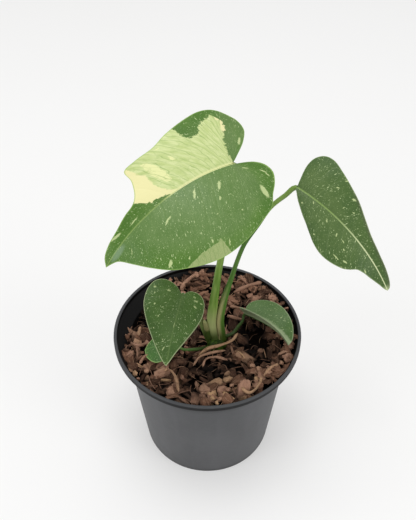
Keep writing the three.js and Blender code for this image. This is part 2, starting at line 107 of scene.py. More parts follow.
# %% A value in a material
class Value:
    """An output of a node. Signs and methods add the nodes that they stand for."""

    __add__ = __radd__ = maths("ADD")
    __mul__ = __rmul__ = maths("MULTIPLY")
    __sub__ = maths("SUBTRACT")
    __rsub__ = maths("SUBTRACT", swapped=True)
    __truediv__ = maths("DIVIDE")
    __rtruediv__ = maths("DIVIDE", swapped=True)
    power = maths("POWER")
    larger = maths("MAXIMUM")
    smaller = maths("MINIMUM")
    size = maths("ABSOLUTE")
    fraction = maths("FRACT")

    def __init__(self, tree, socket=None):
        self.tree = tree
        self.socket = socket

    def node(self, kind, inputs, output=0, curve=None, **settings):
        """Any node: its settings and its curve are set first, then its sockets."""
        made = self.tree.nodes.new("ShaderNode" + kind)
        for key, setting in settings.items():
            setattr(made, key, setting)
        if curve:
            set_curve(made.mapping, curve)
        for key, given in inputs.items():
            link(given, made.inputs[key])
        return Value(self.tree, made.outputs[output])

    def beside(self, output):
        """Another output of the same node."""
        return Value(self.tree, self.socket.node.outputs[output])

    def parts(self):
        split = self.node("SeparateXYZ", {0: self})
        return [split.beside(k) for k in range(3)]

    def attribute(self, name, output="Vector"):
        return self.node("Attribute", {}, output, attribute_name=name)

    def object_place(self):
        """The place on the piece, in millimetres."""
        place = self.node("TexCoord", {}, "Object")
        return place.node("VectorMath", {0: place, "Scale": 1 / MM}, operation="SCALE")

    def stretch(self, scale):
        return self.node("VectorMath", {0: self, 1: scale}, operation="MULTIPLY")

    def step(self, start, end):
        """0 before start, 1 after end and smooth between; a start above the end turns it round."""
        low, high = min(start, end), max(start, end)
        ends = {1: low, 2: high, 3: float(start > end), 4: float(start <= end)}
        return self.node("MapRange", {0: self, **ends}, interpolation_type="SMOOTHSTEP")

    def mix(self, first, second):
        """The first colour where this value is 0 and the second where it is 1."""
        return self.node("Mix", {0: self, 6: first, 7: second}, 2, data_type="RGBA")

    def noise(self, scale, detail=2, roughness=0.5):
        inputs = {"Vector": self, "Scale": scale, "Detail": detail, "Roughness": roughness}
        return self.node("TexNoise", inputs)

    def cells(self):
        """Distance to the nearest of scattered points, and a random number for each point."""
        far = self.node("TexVoronoi", {"Vector": self, "Scale": 1})
        return far, far.beside("Color").parts()[0]

    def net(self):
        """Distance to the nearest wall between scattered cells."""
        inputs = {"Vector": self, "Scale": 1}
        return self.node("TexVoronoi", inputs, feature="DISTANCE_TO_EDGE")

    def profile(self, points):
        """The height of a curve through [x, y] points, where this value is x."""
        low, high = points[0][0], points[-1][0]
        bottom = min(y for _, y in points)
        rise = max(y for _, y in points) - bottom
        share = self.node("MapRange", {0: self, 1: low, 2: high, 3: 0, 4: 1})
        places = [((x - low) / (high - low), (y - bottom) / rise) for x, y in points]
        return self.node("FloatCurve", {"Value": share}, curve=places) * rise + bottom

    def bump(self):
        """The normal of a surface whose height in millimetres is this value."""
        return self.node("Bump", {"Height": self, "Strength": 1, "Distance": MM})


def colour(code):
    """An sRGB code such as #4a7038 as linear red, green, blue and alpha."""
    parts = [int(code[k : k + 2], 16) / 255 for k in (1, 3, 5)]
    return (*[p / 12.92 if p <= 0.04045 else ((p + 0.055) / 1.055) ** 2.4 for p in parts], 1)

# %% Coats and materials
def layers(surface, *coats):
    """Lays coats over a surface. Each coat is where it lies, from 0 to 1, and its colour."""
    for where, tint in coats:
        surface = where.mix(surface, tint)
    return surface


def shading(surface, roughness, height, shine):
    """The sockets of the shader that every piece of the plant sets, with a height in mm."""
    return {
        "Base Color": surface,
        "Roughness": roughness,
        "Normal": height.bump(),
        "Specular IOR Level": shine,
    }


def new_material(name, recipe, *details):
    """A material whose recipe gives a value for each socket of the shader that it sets."""
    made = bpy.data.materials.new(name)
    made.use_nodes = True
    shader = made.node_tree.nodes["Principled BSDF"]
    for key, given in recipe(Value(made.node_tree), *details).items():
        link(given, shader.inputs[key])
    return made

# %% [markdown]
# ## Helpers for modelling
#
# Nearly every piece here is a sheet or a tube that follows a formula. Each starts as a grid
# primitive. Its vertices are then moved to the place that the formula gives, double vertices
# are merged and the normals turned outwards. Operators act on everything that is selected, so
# each helper starts by deselecting all.

# %% Helpers that call operators
random = np.random.default_rng(11)
MERGE_DISTANCE = 0.01


def select_only(*objects):
    bpy.ops.object.select_all(action="DESELECT")
    for one in objects:
        one.select_set(True)
    bpy.context.view_layer.objects.active = objects[0]


@contextmanager
def edit_all(piece):
    """Edit mode with the whole mesh selected, and object mode again afterwards."""
    select_only(piece)
    bpy.ops.object.mode_set(mode="EDIT")
    bpy.ops.mesh.select_all(action="SELECT")
    yield
    bpy.ops.object.mode_set(mode="OBJECT")


def start_from(add, name, **settings):
    """Adds a primitive, a lamp or a camera with nothing else selected."""
    bpy.ops.object.select_all(action="DESELECT")
    add(**settings)
    bpy.context.object.name = name
    return bpy.context.object


def clean(piece):
    """Merges double vertices and turns the normals outwards."""
    with edit_all(piece):
        bpy.ops.mesh.remove_doubles(threshold=MERGE_DISTANCE * MM)
        bpy.ops.mesh.normals_make_consistent(inside=False)


def add_modifier(piece, kind, **settings):
    """Adds a modifier and applies it."""
    made = piece.modifiers.new(kind.lower(), kind)
    for key, setting in settings.items():
        setattr(made, key, setting)
    select_only(piece)
    bpy.ops.object.modifier_apply(modifier=made.name)


def join(name, pieces):
    select_only(*pieces)
    if len(pieces) > 1:
        bpy.ops.object.join()
    joined = bpy.context.view_layer.objects.active
    joined.name = name
    joined.data.name = name
    return joined


def smooth(piece, angle=None):
    select_only(piece)
    if angle is None:
        bpy.ops.object.shade_smooth()
    else:
        bpy.ops.object.shade_smooth_by_angle(angle=math.radians(angle))

# %% Places and attributes of vertices
def vertex_places(piece):
    places = np.zeros(len(piece.data.vertices) * 3)
    piece.data.vertices.foreach_get("co", places)
    return places.reshape(-1, 3)


def move_vertices(piece, places):
    """Moves all vertices to places in millimetres."""
    piece.data.vertices.foreach_set("co", (places * MM).ravel())
    piece.data.update()


def set_attributes(piece, **layers):
    """Stores one number or one vector for each vertex, or one number for all of them."""
    for name, values in layers.items():
        values = np.asarray(values, np.float32)
        if values.ndim == 0:
            values = np.full(len(piece.data.vertices), values)
        kind, key = ("FLOAT", "value") if values.ndim == 1 else ("FLOAT_VECTOR", "vector")
        layer = piece.data.attributes.new(name, kind, "POINT")
        layer.data.foreach_set(key, values.ravel())


def shaped_grid(name, place, **layers):
    """A grid whose vertices are moved to the places in an array of columns and rows."""
    columns, rows = place.shape[0] - 1, place.shape[1] - 1
    counts = {"x_subdivisions": columns, "y_subdivisions": rows}
    piece = start_from(bpy.ops.mesh.primitive_grid_add, name, size=1, **counts)
    u, v = (vertex_places(piece)[:, :2] + 0.5).T
    u = np.round(u * columns).astype(int)
    v = np.round(v * rows).astype(int)
    move_vertices(piece, place[u, v])
    set_attributes(piece, **{key: values[u, v] for key, values in layers.items()})
    return piece

# %% Finishing a piece
def finish_piece(piece, slot_name, materials, *nodes):
    """Gives a piece its materials and its body, and hides the parts of the frame that it stands for.
    """
    piece.data.materials.clear()
    for one in materials:
        piece.data.materials.append(one)
    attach(piece, BODY)
    if nodes:
        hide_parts(*nodes)
    print(piece.name, len(piece.data.polygons), "faces")

# %% Smooth paths
def run_along(path):
    """The length along a path up to each of its points."""
    return np.concatenate([[0], np.cumsum(np.linalg.norm(np.diff(path, axis=0), axis=1))])


def smooth_path(points, count, evenness=0):
    """count + 1 evenly spaced points on a curve through the points. With an evenness of 0.5
    the curve takes the distances between its points into account."""
    knots = np.array(points, float)
    knots = np.vstack([2 * knots[0] - knots[1], knots, 2 * knots[-1] - knots[-2]])
    share = np.linspace(0, 1, 25)[:-1, None]
    found = []
    for a, b, c, d in zip(knots, knots[1:], knots[2:], knots[3:]):
        gaps = [np.linalg.norm((q - p)[:3]) ** (2 * evenness) for p, q in ((a, b), (b, c), (c, d))]
        before, here, after = [max(gap, 1e-6) for gap in gaps]
        leave = ((b - a) / before - (c - a) / (before + here) + (c - b) / here) * here
        arrive = ((c - b) / here - (d - b) / (here + after) + (d - c) / after) * here
        cubic = 2 * b - 2 * c + leave + arrive
        square = 3 * c - 3 * b - 2 * leave - arrive
        found.append(cubic * share**3 + square * share**2 + leave * share + b)
    path = np.vstack([*found, knots[-2:-1]])
    run = run_along(path[:, :3])
    stations = np.linspace(0, run[-1], count + 1)
    return np.stack([np.interp(stations, run, path[:, k]) for k in range(path.shape[1])], -1)


corner = smooth_path([[0, 0], [1, 0], [1, 1]], 16)
print("a path round a corner is", round(run_along(corner)[-1], 2), "long, and 2 with sharp corners")

# %% [markdown]
# ## Leaf shapes
#
# A monstera leaf hangs from a midrib that droops towards the tip. The two halves rise from the
# midrib in a shallow V and curl down outwards. The tables give each leaf's heading, its droop
# and the margin of both halves as [along, across] points from the notch at the stalk, round
# the lobe, to the tip. They are the sizes that the solids were made from, so the thin leaves
# keep the same form.

# %% Leaf tables
LEAVES = {
    "large": {
        "base": (13.3, 4, 225.3), "azimuth": 215.4, "pitch": 8.7, "roll": 30, "length": 88,
        "droop": 60.7, "wave": (0.7, 4), "grid": (200, 36),
        "right": {"fold": 10, "curl": 0.006, "margin": [
            [-1, 0.8], [-6, 5.2], [-12.5, 11.3], [-15.8, 16.7], [-14.5, 22.5], [-9.5, 27],
            [-3, 30.5], [5, 31.8], [14, 30.3], [24, 27.5], [33, 24.2], [42, 24], [48.5, 23.4],
            [49, 17.5], [52, 11.5], [56, 8.4], [62, 7.4], [70, 5.8], [78, 4.9], [84, 3.2],
        ]},
        "left": {"fold": 12, "curl": 0.011, "margin": [
            [-2, 0.4], [-7, 1.5], [-12.5, 3], [-17.5, 6], [-19.8, 11], [-17.5, 17], [-12.5, 23],
            [-7.5, 29.5], [1, 34.3], [13, 39], [25, 41], [37, 41], [48, 38.6], [58, 34],
            [66.5, 28], [73, 19.5], [77.5, 11.5], [81.2, 4.4], [84.5, 1.8],
        ]},
    },
    "right": {
        "base": (48.6, 10, 205.7), "azimuth": -34, "pitch": -13.6, "roll": -38, "length": 77.8,
        "droop": 44.2, "bend": -2.2, "wave": (0.5, 3), "grid": (160, 24),
        "right": {"fold": 8, "curl": 0.012, "margin": [
            [0.3, 1.6], [6.5, 6.8], [13, 11.2], [20.6, 15.5], [28.3, 18.8], [35.8, 19.9], [43, 19],
            [50.3, 16.2], [54, 13.1], [56.5, 9.8], [60.5, 7.6], [66, 5.6], [72, 3], [76, 1.3],
        ]},
        "left": {"fold": 8, "curl": 0.008, "margin": [
            [-0.2, 1.2], [-1, 7], [-1.6, 13], [-0.4, 18.2], [3, 22.2], [8, 23], [14.7, 20.4],
            [22, 17.3], [30, 14.2], [38.5, 10.3], [47, 7.1], [57, 5.2], [66, 4.3], [73, 3.2],
            [76.6, 1.8],
        ]},
    },
    "heart": {
        "base": (-14, -20, 152.4), "azimuth": 253.9, "pitch": -22.9, "roll": 12, "length": 40.9,
        "droop": 21.7, "bend": 2.3, "wave": (0.3, 2), "grid": (120, 20),
        "right": {"fold": 8, "curl": 0.014, "margin": [
            [-1, 1.1], [-4.3, 5.3], [-6, 11], [-4.6, 16.4], [-0.5, 19.4], [5, 20.4], [11, 19.6],
            [18, 16.4], [26, 11.5], [33.5, 6.4], [39, 2.2],
        ]},
        "left": {"fold": 8, "curl": 0.014, "margin": [
            [-0.9, 0.9], [-3, 3.5], [-3.1, 7.6], [-1, 11.5], [3.2, 13.7], [9.7, 14.1],
            [16.6, 12.2], [25, 8.2], [33, 3.9], [38, 1.6],
        ]},
    },
    "low_left": {
        "base": (-19.9, -13.3, 100.5), "azimuth": 188, "pitch": 14, "roll": 0, "length": 20,
        "droop": 40, "wave": (0, 0), "grid": (60, 10),
        "right": {"fold": 12, "curl": 0.03, "margin": [
            [-0.8, 0.9], [-2.6, 3.4], [-2.6, 6.8], [0.5, 8.8], [6, 9], [11.5, 7.2], [16.5, 3.8],
        ]},
        "left": {"fold": 12, "curl": 0.03, "margin": [
            [-0.6, 1], [-0.6, 3], [1.2, 5], [4.6, 8], [9, 12.2], [14, 12.6], [18.5, 7.6],
        ]},
    },
    "low_right": {
        "base": (25.1, 12.2, 101.4), "azimuth": -43.9, "pitch": 15.2, "roll": -10, "length": 38.3,
        "droop": 65.1, "droop_power": 2.4, "wave": (0, 0), "grid": (90, 16),
        "right": {"fold": 80, "curl": 0.02, "margin": [
            [-1, 1.2], [-2.2, 3], [-2, 5.8], [1.5, 8.2], [8, 9.6], [16, 9.8], [24, 8.4], [31, 5.6],
            [36, 2.4],
        ]},
        "left": {"fold": 17, "curl": 0.02, "margin": [
            [-0.8, 1.2], [-2.2, 3.5], [-2, 7.5], [1, 11.2], [6, 13.8], [12, 15.3], [18, 15.2],
            [24, 13.5], [29.5, 10.6], [34, 6.8], [37, 3.4],
        ]},
    },
}
MIDRIB_STEPS = 64
BLADE_THICKNESS = 0.5
VEIN_LEAN = 0.6
VEIN_BOW = 0.4
VEIN_GAP = 7.5
VEIN_PUFF = 0.07
PUFF_START = 6
CHANNEL_DEPTH = 0.35
CHANNEL_WIDTH = 1.1
SMOOTH_ANGLE = 60
print("leaves:", ", ".join(LEAVES))

# %% The midrib and the surface of a leaf
class Midrib:
    """The midrib's path, and the directions along, across and up from it."""

    def __init__(self, leaf):
        self.leaf = leaf
        moves = self.heading((np.arange(MIDRIB_STEPS) + 0.5) / MIDRIB_STEPS)
        moves *= leaf["length"] / MIDRIB_STEPS
        self.points = np.vstack([leaf["base"], leaf["base"] + np.cumsum(moves, axis=0)])

    def heading(self, share):
        droop = self.leaf["droop"] * share ** self.leaf.get("droop_power", 1)
        pitch = np.radians(self.leaf["pitch"] - droop)
        azimuth = np.radians(self.leaf["azimuth"] + self.leaf.get("bend", 0) * share)
        flat = np.cos(pitch)
        return np.stack([flat * np.cos(azimuth), flat * np.sin(azimuth), np.sin(pitch)], -1)

    def frame(self, along):
        length = self.leaf["length"]
        reach = np.clip(along, 0, length)
        knots = np.linspace(0, length, MIDRIB_STEPS + 1)
        place = np.stack([np.interp(reach, knots, self.points[:, k]) for k in range(3)], -1)
        forward = self.heading(reach / length)
        side = np.cross(forward, (0, 0, 1))
        side /= np.linalg.norm(side, axis=-1, keepdims=True)
        up = np.cross(side, forward)
        roll = math.radians(self.leaf["roll"])
        across = side * math.cos(roll) + up * math.sin(roll)
        normal = up * math.cos(roll) - side * math.sin(roll)
        return place + forward * np.minimum(along, 0)[..., None], forward, across, normal


def blade_point(midrib, half, sign, along, width, height):
    """A point of one half; a height above zero is over the upper face."""
    place, _, across, normal = midrib.frame(along)
    fold = math.radians(half["fold"])
    turn = fold - half["curl"] * width
    out = (math.sin(fold) - np.sin(turn)) / half["curl"] - height * np.sin(turn)
    rise = (np.cos(turn) - math.cos(fold)) / half["curl"] + height * np.cos(turn)
    return place + across * (sign * out)[..., None] + normal * rise[..., None]


print("tip of the large leaf:", Midrib(LEAVES["large"]).points[-1].round(1))

# %% [markdown]
# ## Building a blade
#
# Each half is a grid. Its columns follow the side veins from the midrib to the margin, so that
# veins and specks can later be drawn along them. Two sets of numbers stay on the vertices:
# "leaf" holds the place along and across the leaf and the distance to the margin, and "vein"
# holds the place on the margin that the vein runs to, the distance out along it and its share.
# Solidify then gives the sheet its thickness and its underside a material of its own.

# %% Blade maker
def half_grid(leaf, midrib, side, roots, margin, sign):
    columns, rows = leaf["grid"]
    share = np.linspace(0, 1, rows + 1)[None, :]
    edge = margin[:, None, :]
    width = np.maximum(edge[..., 1], 0) * share
    bowed = share * (1 - VEIN_BOW) + share**2 * VEIN_BOW
    along = roots[:, None] + (edge[..., 0] - roots[:, None]) * bowed
    spot = (np.arange(columns + 1) / columns)[:, None]
    wave_height, wave_count = leaf["wave"]
    lane = spot * np.linalg.norm(np.diff(margin, axis=0), axis=1).sum()
    fade = np.sin(np.pi * share) * np.minimum(width / PUFF_START, 1)
    height = wave_height * np.sin(2 * np.pi * wave_count * spot) * share**2
    height = height + VEIN_PUFF * fade * (np.abs(np.sin(np.pi * lane / VEIN_GAP)) - 0.5)
    taper = np.clip(1 - along / leaf["length"], 0, 1)
    height = height - CHANNEL_DEPTH * taper * np.exp(-((width / CHANNEL_WIDTH) ** 2))
    vein_length = np.hypot(edge[..., 0] - roots[:, None], edge[..., 1])
    place = blade_point(midrib, leaf[side], sign, along, width, height)
    on_leaf = np.stack([along, sign * width, edge[..., 1] * (1 - share)], -1)
    on_vein = np.stack([lane + 0 * share, vein_length * share, share + 0 * lane], -1)
    return shaped_grid(f"half_{side}", place, leaf=on_leaf, vein=on_vein)


def make_blade(key):
    leaf = LEAVES[key]
    midrib = Midrib(leaf)
    margins, starts = {}, []
    for side in ("right", "left"):
        outline = [*leaf[side]["margin"], [leaf["length"], 0]]
        margins[side] = smooth_path(outline, leaf["grid"][0])
        inner = margins[side][:, 0] - VEIN_LEAN * margins[side][:, 1]
        starts.append(np.clip(inner, 0, leaf["length"]))
    roots = (starts[0] + starts[1]) / 2
    halves = [
        half_grid(leaf, midrib, side, roots, margins[side], sign)
        for side, sign in (("right", 1), ("left", -1))
    ]
    blade = join(f"blade_{key}", halves)
    clean(blade)
    turn_up(blade, midrib)
    thickness = BLADE_THICKNESS * MM
    add_modifier(blade, "SOLIDIFY", thickness=thickness, offset=-1, material_offset=1)
    smooth(blade, SMOOTH_ANGLE)
    return blade


def turn_up(blade, midrib):
    """Flips the sheet if its faces look down, away from the leaf's upper side."""
    _, _, _, normal = midrib.frame(np.array([midrib.leaf["length"] / 2]))
    total = sum((face.normal * face.area for face in blade.data.polygons), Vector())
    if total.dot(Vector(normal[0])) < 0:
        with edit_all(blade):
            bpy.ops.mesh.flip_normals()


blades = {key: make_blade(key) for key in LEAVES}
print("blades made:", len(blades))

# %% [markdown]
# ## The green and cream of the leaves
#
# On this plant cells without green grow in sectors that follow the side veins, from single
# specks up to half a leaf. The margin of a sector is ragged, as it steps from vein to vein.
# Each large sector is drawn by a curve in the leaf's own coordinates, whose edge is shaken by
# noise. Spots are stretched ellipses, and fine specks are scattered cells stretched along the
# veins.

# %% Colours and marks
LIME = "#c8d197"
LIME_GREEN = "#b2c17d"
LIME_LINE = "#8ea563"
PALE = "#d9db9f"
CREAM = "#dcd7a0"
SPECK = "#c3d29c"
BLOTCH = "#bdca90"
FLAP_GREEN = "#81935a"
FLAP_PALE = "#99a66f"
FLAP_LINE = "#6d8748"
TWIG_GAP = 3.4
# Each leaf's greens (deep, fresh and a painted sheen), its midrib's colour, width and strength, and
# its margin's colour and strength.
STYLES = {
    "large": {
        "greens": ("#42681f", "#4f7424", "#667f4b"),
        "midrib": ("#a9bf6e", 0.5, 0.75),
        "rim": ("#8fae5c", 0.6),
    },
    "right": {
        "greens": ("#3b5626", "#465f2c", "#546a38"),
        "midrib": ("#8aa45c", 0.4, 0.8),
        "rim": ("#97a877", 0.5),
    },
    "heart": {
        "greens": ("#385420", "#47662b", "#4f6a36"),
        "midrib": ("#6c8449", 0.5, 0.35),
        "rim": ("#a9b388", 0.7),
    },
    "low_left": {
        "greens": ("#33571f", "#41692b", "#4c723a"),
        "midrib": ("#6f9050", 0.5, 0.4),
        "rim": ("#86a860", 0.9),
    },
    "low_right": {
        "greens": ("#46652f", "#526f3c", "#637e50"),
        "midrib": ("#6f8c5a", 0.4, 0.3),
        "rim": ("#93a37c", 0.8),
    },
}

# Spots: [along, across, half length, half width, turn in degrees].
SPOTS = {
    "large": [
        [15.2, -9.1, 2.7, 0.85, -55], [29.2, -6.8, 2.9, 0.6, -54], [-8.1, -20.2, 4, 1.7, 84],
        [49, -9.6, 3, 0.45, -18], [64.2, -25.7, 2.4, 0.8, -20], [-9.4, 10.8, 2.4, 0.7, -58],
        [72.6, 4.2, 3.3, 0.6, 12], [-14.1, -9, 2.4, 0.35, 40], [-15.6, -11.6, 1.6, 0.35, 62],
        [-4.9, -4.6, 2, 0.3, 20], [29.2, -36.6, 2, 0.35, -50], [19, -15.4, 1.2, 0.55, -52],
        [73, -7, 1.7, 0.3, -40], [61, 2.4, 2.6, 0.3, -5], [54.2, -30.3, 1, 0.35, -40],
        [10.8, -25.5, 0.5, 0.5, 0], [25.5, -21.7, 0.5, 0.35, 0], [37.5, -31.4, 1.1, 0.4, -60],
    ],
    "right": [
        [43, 14.7, 2.4, 0.35, -5], [48.8, 12.5, 1.6, 0.5, -13], [7.6, 5.7, 0.6, 0.45, 0],
        [27.2, -13.2, 1.2, 0.5, -30], [24.3, 4.8, 0.9, 0.3, 50], [33.8, 6.6, 1, 0.4, 60],
        [39.1, 6.4, 1.1, 0.3, 20], [26.3, -6.4, 0.8, 0.3, -70], [60.5, 6.5, 1.2, 0.4, 10],
        [17.3, -12.3, 0.9, 0.35, -40], [24.4, 15, 0.7, 0.4, 0], [12.5, 2, 0.8, 0.3, 50],
        [42.9, 9, 0.8, 0.3, 30], [18.6, -17.8, 0.9, 0.25, -50], [31.6, -8.3, 0.7, 0.3, -40],
    ],
    "heart": [
        [-0.2, 8.1, 1.3, 0.4, 88], [-0.3, 16.3, 0.8, 0.4, 80], [2.8, 15.3, 0.4, 0.35, 0],
        [1.7, -8.3, 1.2, 0.35, -70], [5.2, -8.7, 1.1, 0.4, -55], [2.5, -11.6, 0.9, 0.3, -80],
        [8.9, 13.8, 0.5, 0.35, 0], [15.1, 10, 0.4, 0.35, 0], [31.8, 3.4, 1.4, 0.25, 20],
        [12.5, -10.5, 0.8, 0.3, -40], [18, 0.2, 1.6, 0.2, 5], [-0.4, -6.9, 0.9, 0.25, -70],
        [21.7, 10.9, 0.4, 0.3, 0], [26.9, 4.8, 0.4, 0.3, 0], [12.4, 16.7, 0.5, 0.3, 0],
    ],
}
CREAM_SPOTS = [[-3.6, 20.2, 4.2, 1.9, -82], [-2.6, 26.2, 2.2, 1.4, -40]]
PALE_SPOTS = [[37.6, 13, 8, 2.4, 68], [28.3, 14.8, 1.7, 0.8, 60], [31.6, 22.6, 1, 0.4, 0]]
# A painted sheen in the groove near the large leaf's tip, drawn like a spot.
TIP_GROOVE_SHEEN = [[78.5, -1.4, 7, 2.2, 2]]

# Specks: spread along the margin and the vein, fade, chance, strength and crowding at the margin.
SPECKS = [
    ((2.2, 1.5, 0), (0.42, 0.1), (0.5, 0.9), 0.45, 0),
    ((1.3, 0.8, 0), (0.3, 0.16), (0.78, 0.84), 0.7, 0.1),
    ((1.3, 0.3, 0), (0.26, 0.14), (0.88, 0.9), 0.9, 0),
]

# Edges of the sectors: how far along they are at each place across, or the other way round.
SECTOR_START = [[0, -1], [5.6, 0.6], [10.5, 0.2], [16, -1.4], [19.7, -4.6], [24.5, -3.6], [29, 1.5]]
SECTOR_END = [[0, 38], [1.4, 41], [2.8, 46.4], [3.4, 49.6], [8, 54.5], [29, 60]]
SECTOR_NOTCH = [
    [-8, 26.5], [-2, 28], [2.2, 28.4], [4.6, 26.6], [9, 24], [9.9, 20.6], [15.9, 20], [18.4, 22.6],
    [19.3, 27], [21.4, 30], [30, 40],
]
CORNER_START = [
    [0, 34], [0.7, 34.9], [2.1, 37.7], [6.4, 41.3], [9.1, 42.2], [15.2, 42.7], [17.7, 45.1],
    [22.4, 46.5], [26, 50],
]
FLAP_START = [
    [30, 60], [31.8, 40], [32.3, 32.6], [35.7, 33.6], [40.5, 33.4], [47.5, 32.7], [53, 33.1],
    [59, 33], [61, 60],
]
print("spots drawn one by one:", sum(len(spots) for spots in SPOTS.values()))

# %% Patterns on a leaf
class LeafPattern:
    """The coordinates of a leaf and the patterns that its colours share."""

    def __init__(self, start):
        mark = start.attribute("leaf")
        self.along, self.across, self.rim = mark.parts()
        self.vein = start.attribute("vein")
        lane, _, share = self.vein.parts()
        flat = mark.stretch((1, 1, 0))
        self.soft = flat.noise(0.07, 3)
        self.grain = flat.noise(2.2, 3, 0.7)
        self.flow = self.vein.stretch((0.5, 0.16, 0)).noise(1, 3)
        self.jagged = (self.vein.stretch((0.9, 0.22, 0)).noise(1, 4, 0.65) - 0.5) * 3.2
        self.ragged = (flat.noise(0.42, 4, 0.7) - 0.5) * 5
        rib = ((lane / VEIN_GAP + 0.5).fraction() - 0.5).size() * VEIN_GAP
        self.ribs = rib.step(0.8, 0.1) * share.step(0.99, 0.8)
        wander = self.vein.stretch((0.14, 0.06, 0)).noise(1, 2)
        twig = ((lane / TWIG_GAP + wander * 3).fraction() - 0.5).size()
        self.twigs = twig.step(0.09, 0.01) * self.flow.step(0.3, 0.44)
        self.net = self.vein.stretch((0.5, 0.17, 0)).net().step(0.07, 0)
        self.off_midrib = self.across.size() + self.along * 0.003

# %% Spots and specks
def spot_field(along, across, spots):
    """Above 0 inside any of the spots."""
    fields = []
    for s, w, half_length, half_width, turn in spots:
        cos, sin = math.cos(math.radians(turn)), math.sin(math.radians(turn))
        ds, dw = along - s, across - w
        far = ((ds * cos + dw * sin) / half_length).power(2)
        wide = ((dw * cos - ds * sin) / half_width).power(2)
        fields.append(1 - (far + wide))
    return reduce(Value.larger, fields)


def specks(leaf):
    """Fine pale specks, drawn out along the veins."""
    kinds = []
    for spread, fade, chance, strength, crowding in SPECKS:
        far, luck = leaf.vein.stretch(spread).cells()
        luck = luck + leaf.rim.step(12, 2) * crowding
        kinds.append(far.step(*fade) * luck.step(*chance) * strength)
    return reduce(Value.larger, kinds)

# %% Green and cream tissue
def green_tissue(leaf, key):
    deep, fresh, sheen = STYLES[key]["greens"]
    # The third green is a painted sheen: the middle of the blade, away from the margin, is lightened
    # towards it.
    middle = leaf.rim.step(1.5, 13) * (leaf.soft.step(0.25, 0.6) * 0.35 + 0.6)
    green = layers(
        leaf.soft.step(0.35, 0.65).mix(deep, fresh),
        (middle * 0.8, sheen),
        # A fine mottle between the sheen colour and the deep green.
        (leaf.grain.step(0.48, 0.7) * 0.65, sheen),
        (leaf.grain.step(0.52, 0.3) * 0.65, deep),
        (leaf.flow.step(0.55, 0.4) * 0.2, deep),
        (leaf.ribs * 0.04, LIME_LINE),
    )
    if key != "large":
        return green
    # Painted sheen also lightens the lobe beside the cream sector of the large leaf.
    lobe = leaf.across.step(5, 15) * leaf.along.step(5, -10)
    return layers(green, (leaf.along.step(45, 80) * 0.4, deep), (lobe * 0.5, sheen))


def cream_half(leaf):
    """How far inside the sector of the large leaf's cream half, in mm."""
    teeth = leaf.jagged * 0.7 + leaf.ragged * 1.7
    along, across = leaf.along + teeth, leaf.across + teeth * 0.8
    sector = (along - across.profile(SECTOR_START)).smaller(across.profile(SECTOR_END) - along)
    sector = sector.smaller(along.profile(SECTOR_NOTCH) - across)
    return sector.smaller(leaf.across * 4)


def cream_tissue(leaf):
    """Lime with green veins, pale and cream spots and a yellow corner."""
    along, across = leaf.along + leaf.jagged, leaf.across + leaf.jagged
    pale = spot_field(leaf.along + leaf.jagged * 1.6, across, PALE_SPOTS)
    bright = spot_field(along, across, CREAM_SPOTS)
    corner = along + leaf.ragged * 0.5 - leaf.across.profile(CORNER_START)
    return layers(
        leaf.flow.step(0.3, 0.7).mix(LIME, LIME_GREEN),
        (pale.step(-0.1, 0.1), PALE),
        (leaf.twigs.larger(leaf.net * 0.35) * 0.85, LIME_LINE),
        (leaf.grain.step(0.5, 0.8) * 0.3, LIME_LINE),
        (corner.step(-0.4, 0.4).larger(bright.step(-0.2, 0.3)), CREAM),
        (leaf.across.step(1.5, 0.3) * 0.7, PALE),
    )

# %% Marks of single leaves
def flap(leaf):
    """How far inside the sector at the margin of the green half, in mm."""
    teeth = leaf.jagged * 0.3 + leaf.ragged * 0.35
    return teeth - leaf.across - (leaf.along + teeth).profile(FLAP_START)


def large_marks(leaf):
    flap_tissue = layers(
        leaf.grain.step(0.3, 0.65).mix(FLAP_GREEN, FLAP_PALE),
        (leaf.twigs.larger(leaf.net * 0.5) * 0.7, FLAP_LINE),
    )
    groove = spot_field(leaf.along, leaf.across, TIP_GROOVE_SHEEN)
    return [
        (cream_half(leaf).step(-0.15, 0.15), cream_tissue(leaf)),
        (flap(leaf).step(-0.2, 0.2), flap_tissue),
        (leaf.off_midrib.step(0.55, 0.25) * leaf.along.step(46, 36), PALE),
        # Painted sheen in the groove near the tip.
        (groove.step(0, 0.9) * 0.45, "#839a80"),
    ]


def right_marks(leaf):
    fold = leaf.rim.step(1.8, 0.4) * leaf.across.step(0, -2) * leaf.along.step(18, 30)
    return [(leaf.along.step(73.5, 77) * 0.6, "#b9c795"), (fold * 0.5, "#4a4c3c")]


def low_right_marks(leaf):
    pale_band = (leaf.across + (leaf.flow - 0.5) * 2).step(-3.2, -1.6)
    return [(pale_band * 0.85, "#9fad88")]


OWN_MARKS = {"large": large_marks, "right": right_marks, "low_right": low_right_marks}


def midrib_line(leaf, key):
    tint, width, strength = STYLES[key]["midrib"]
    drawn = leaf.off_midrib.step(width + 0.15, width * 0.5) * strength
    if key == "large":
        drawn = drawn * leaf.along.step(30, 42) * 0.5
    if key != "right":
        return [(drawn, tint)]
    pale_line = leaf.off_midrib.step(0.6, 0.3) * leaf.along.step(20, 55)
    return [(drawn, tint), (pale_line, "#ccd4a6")]

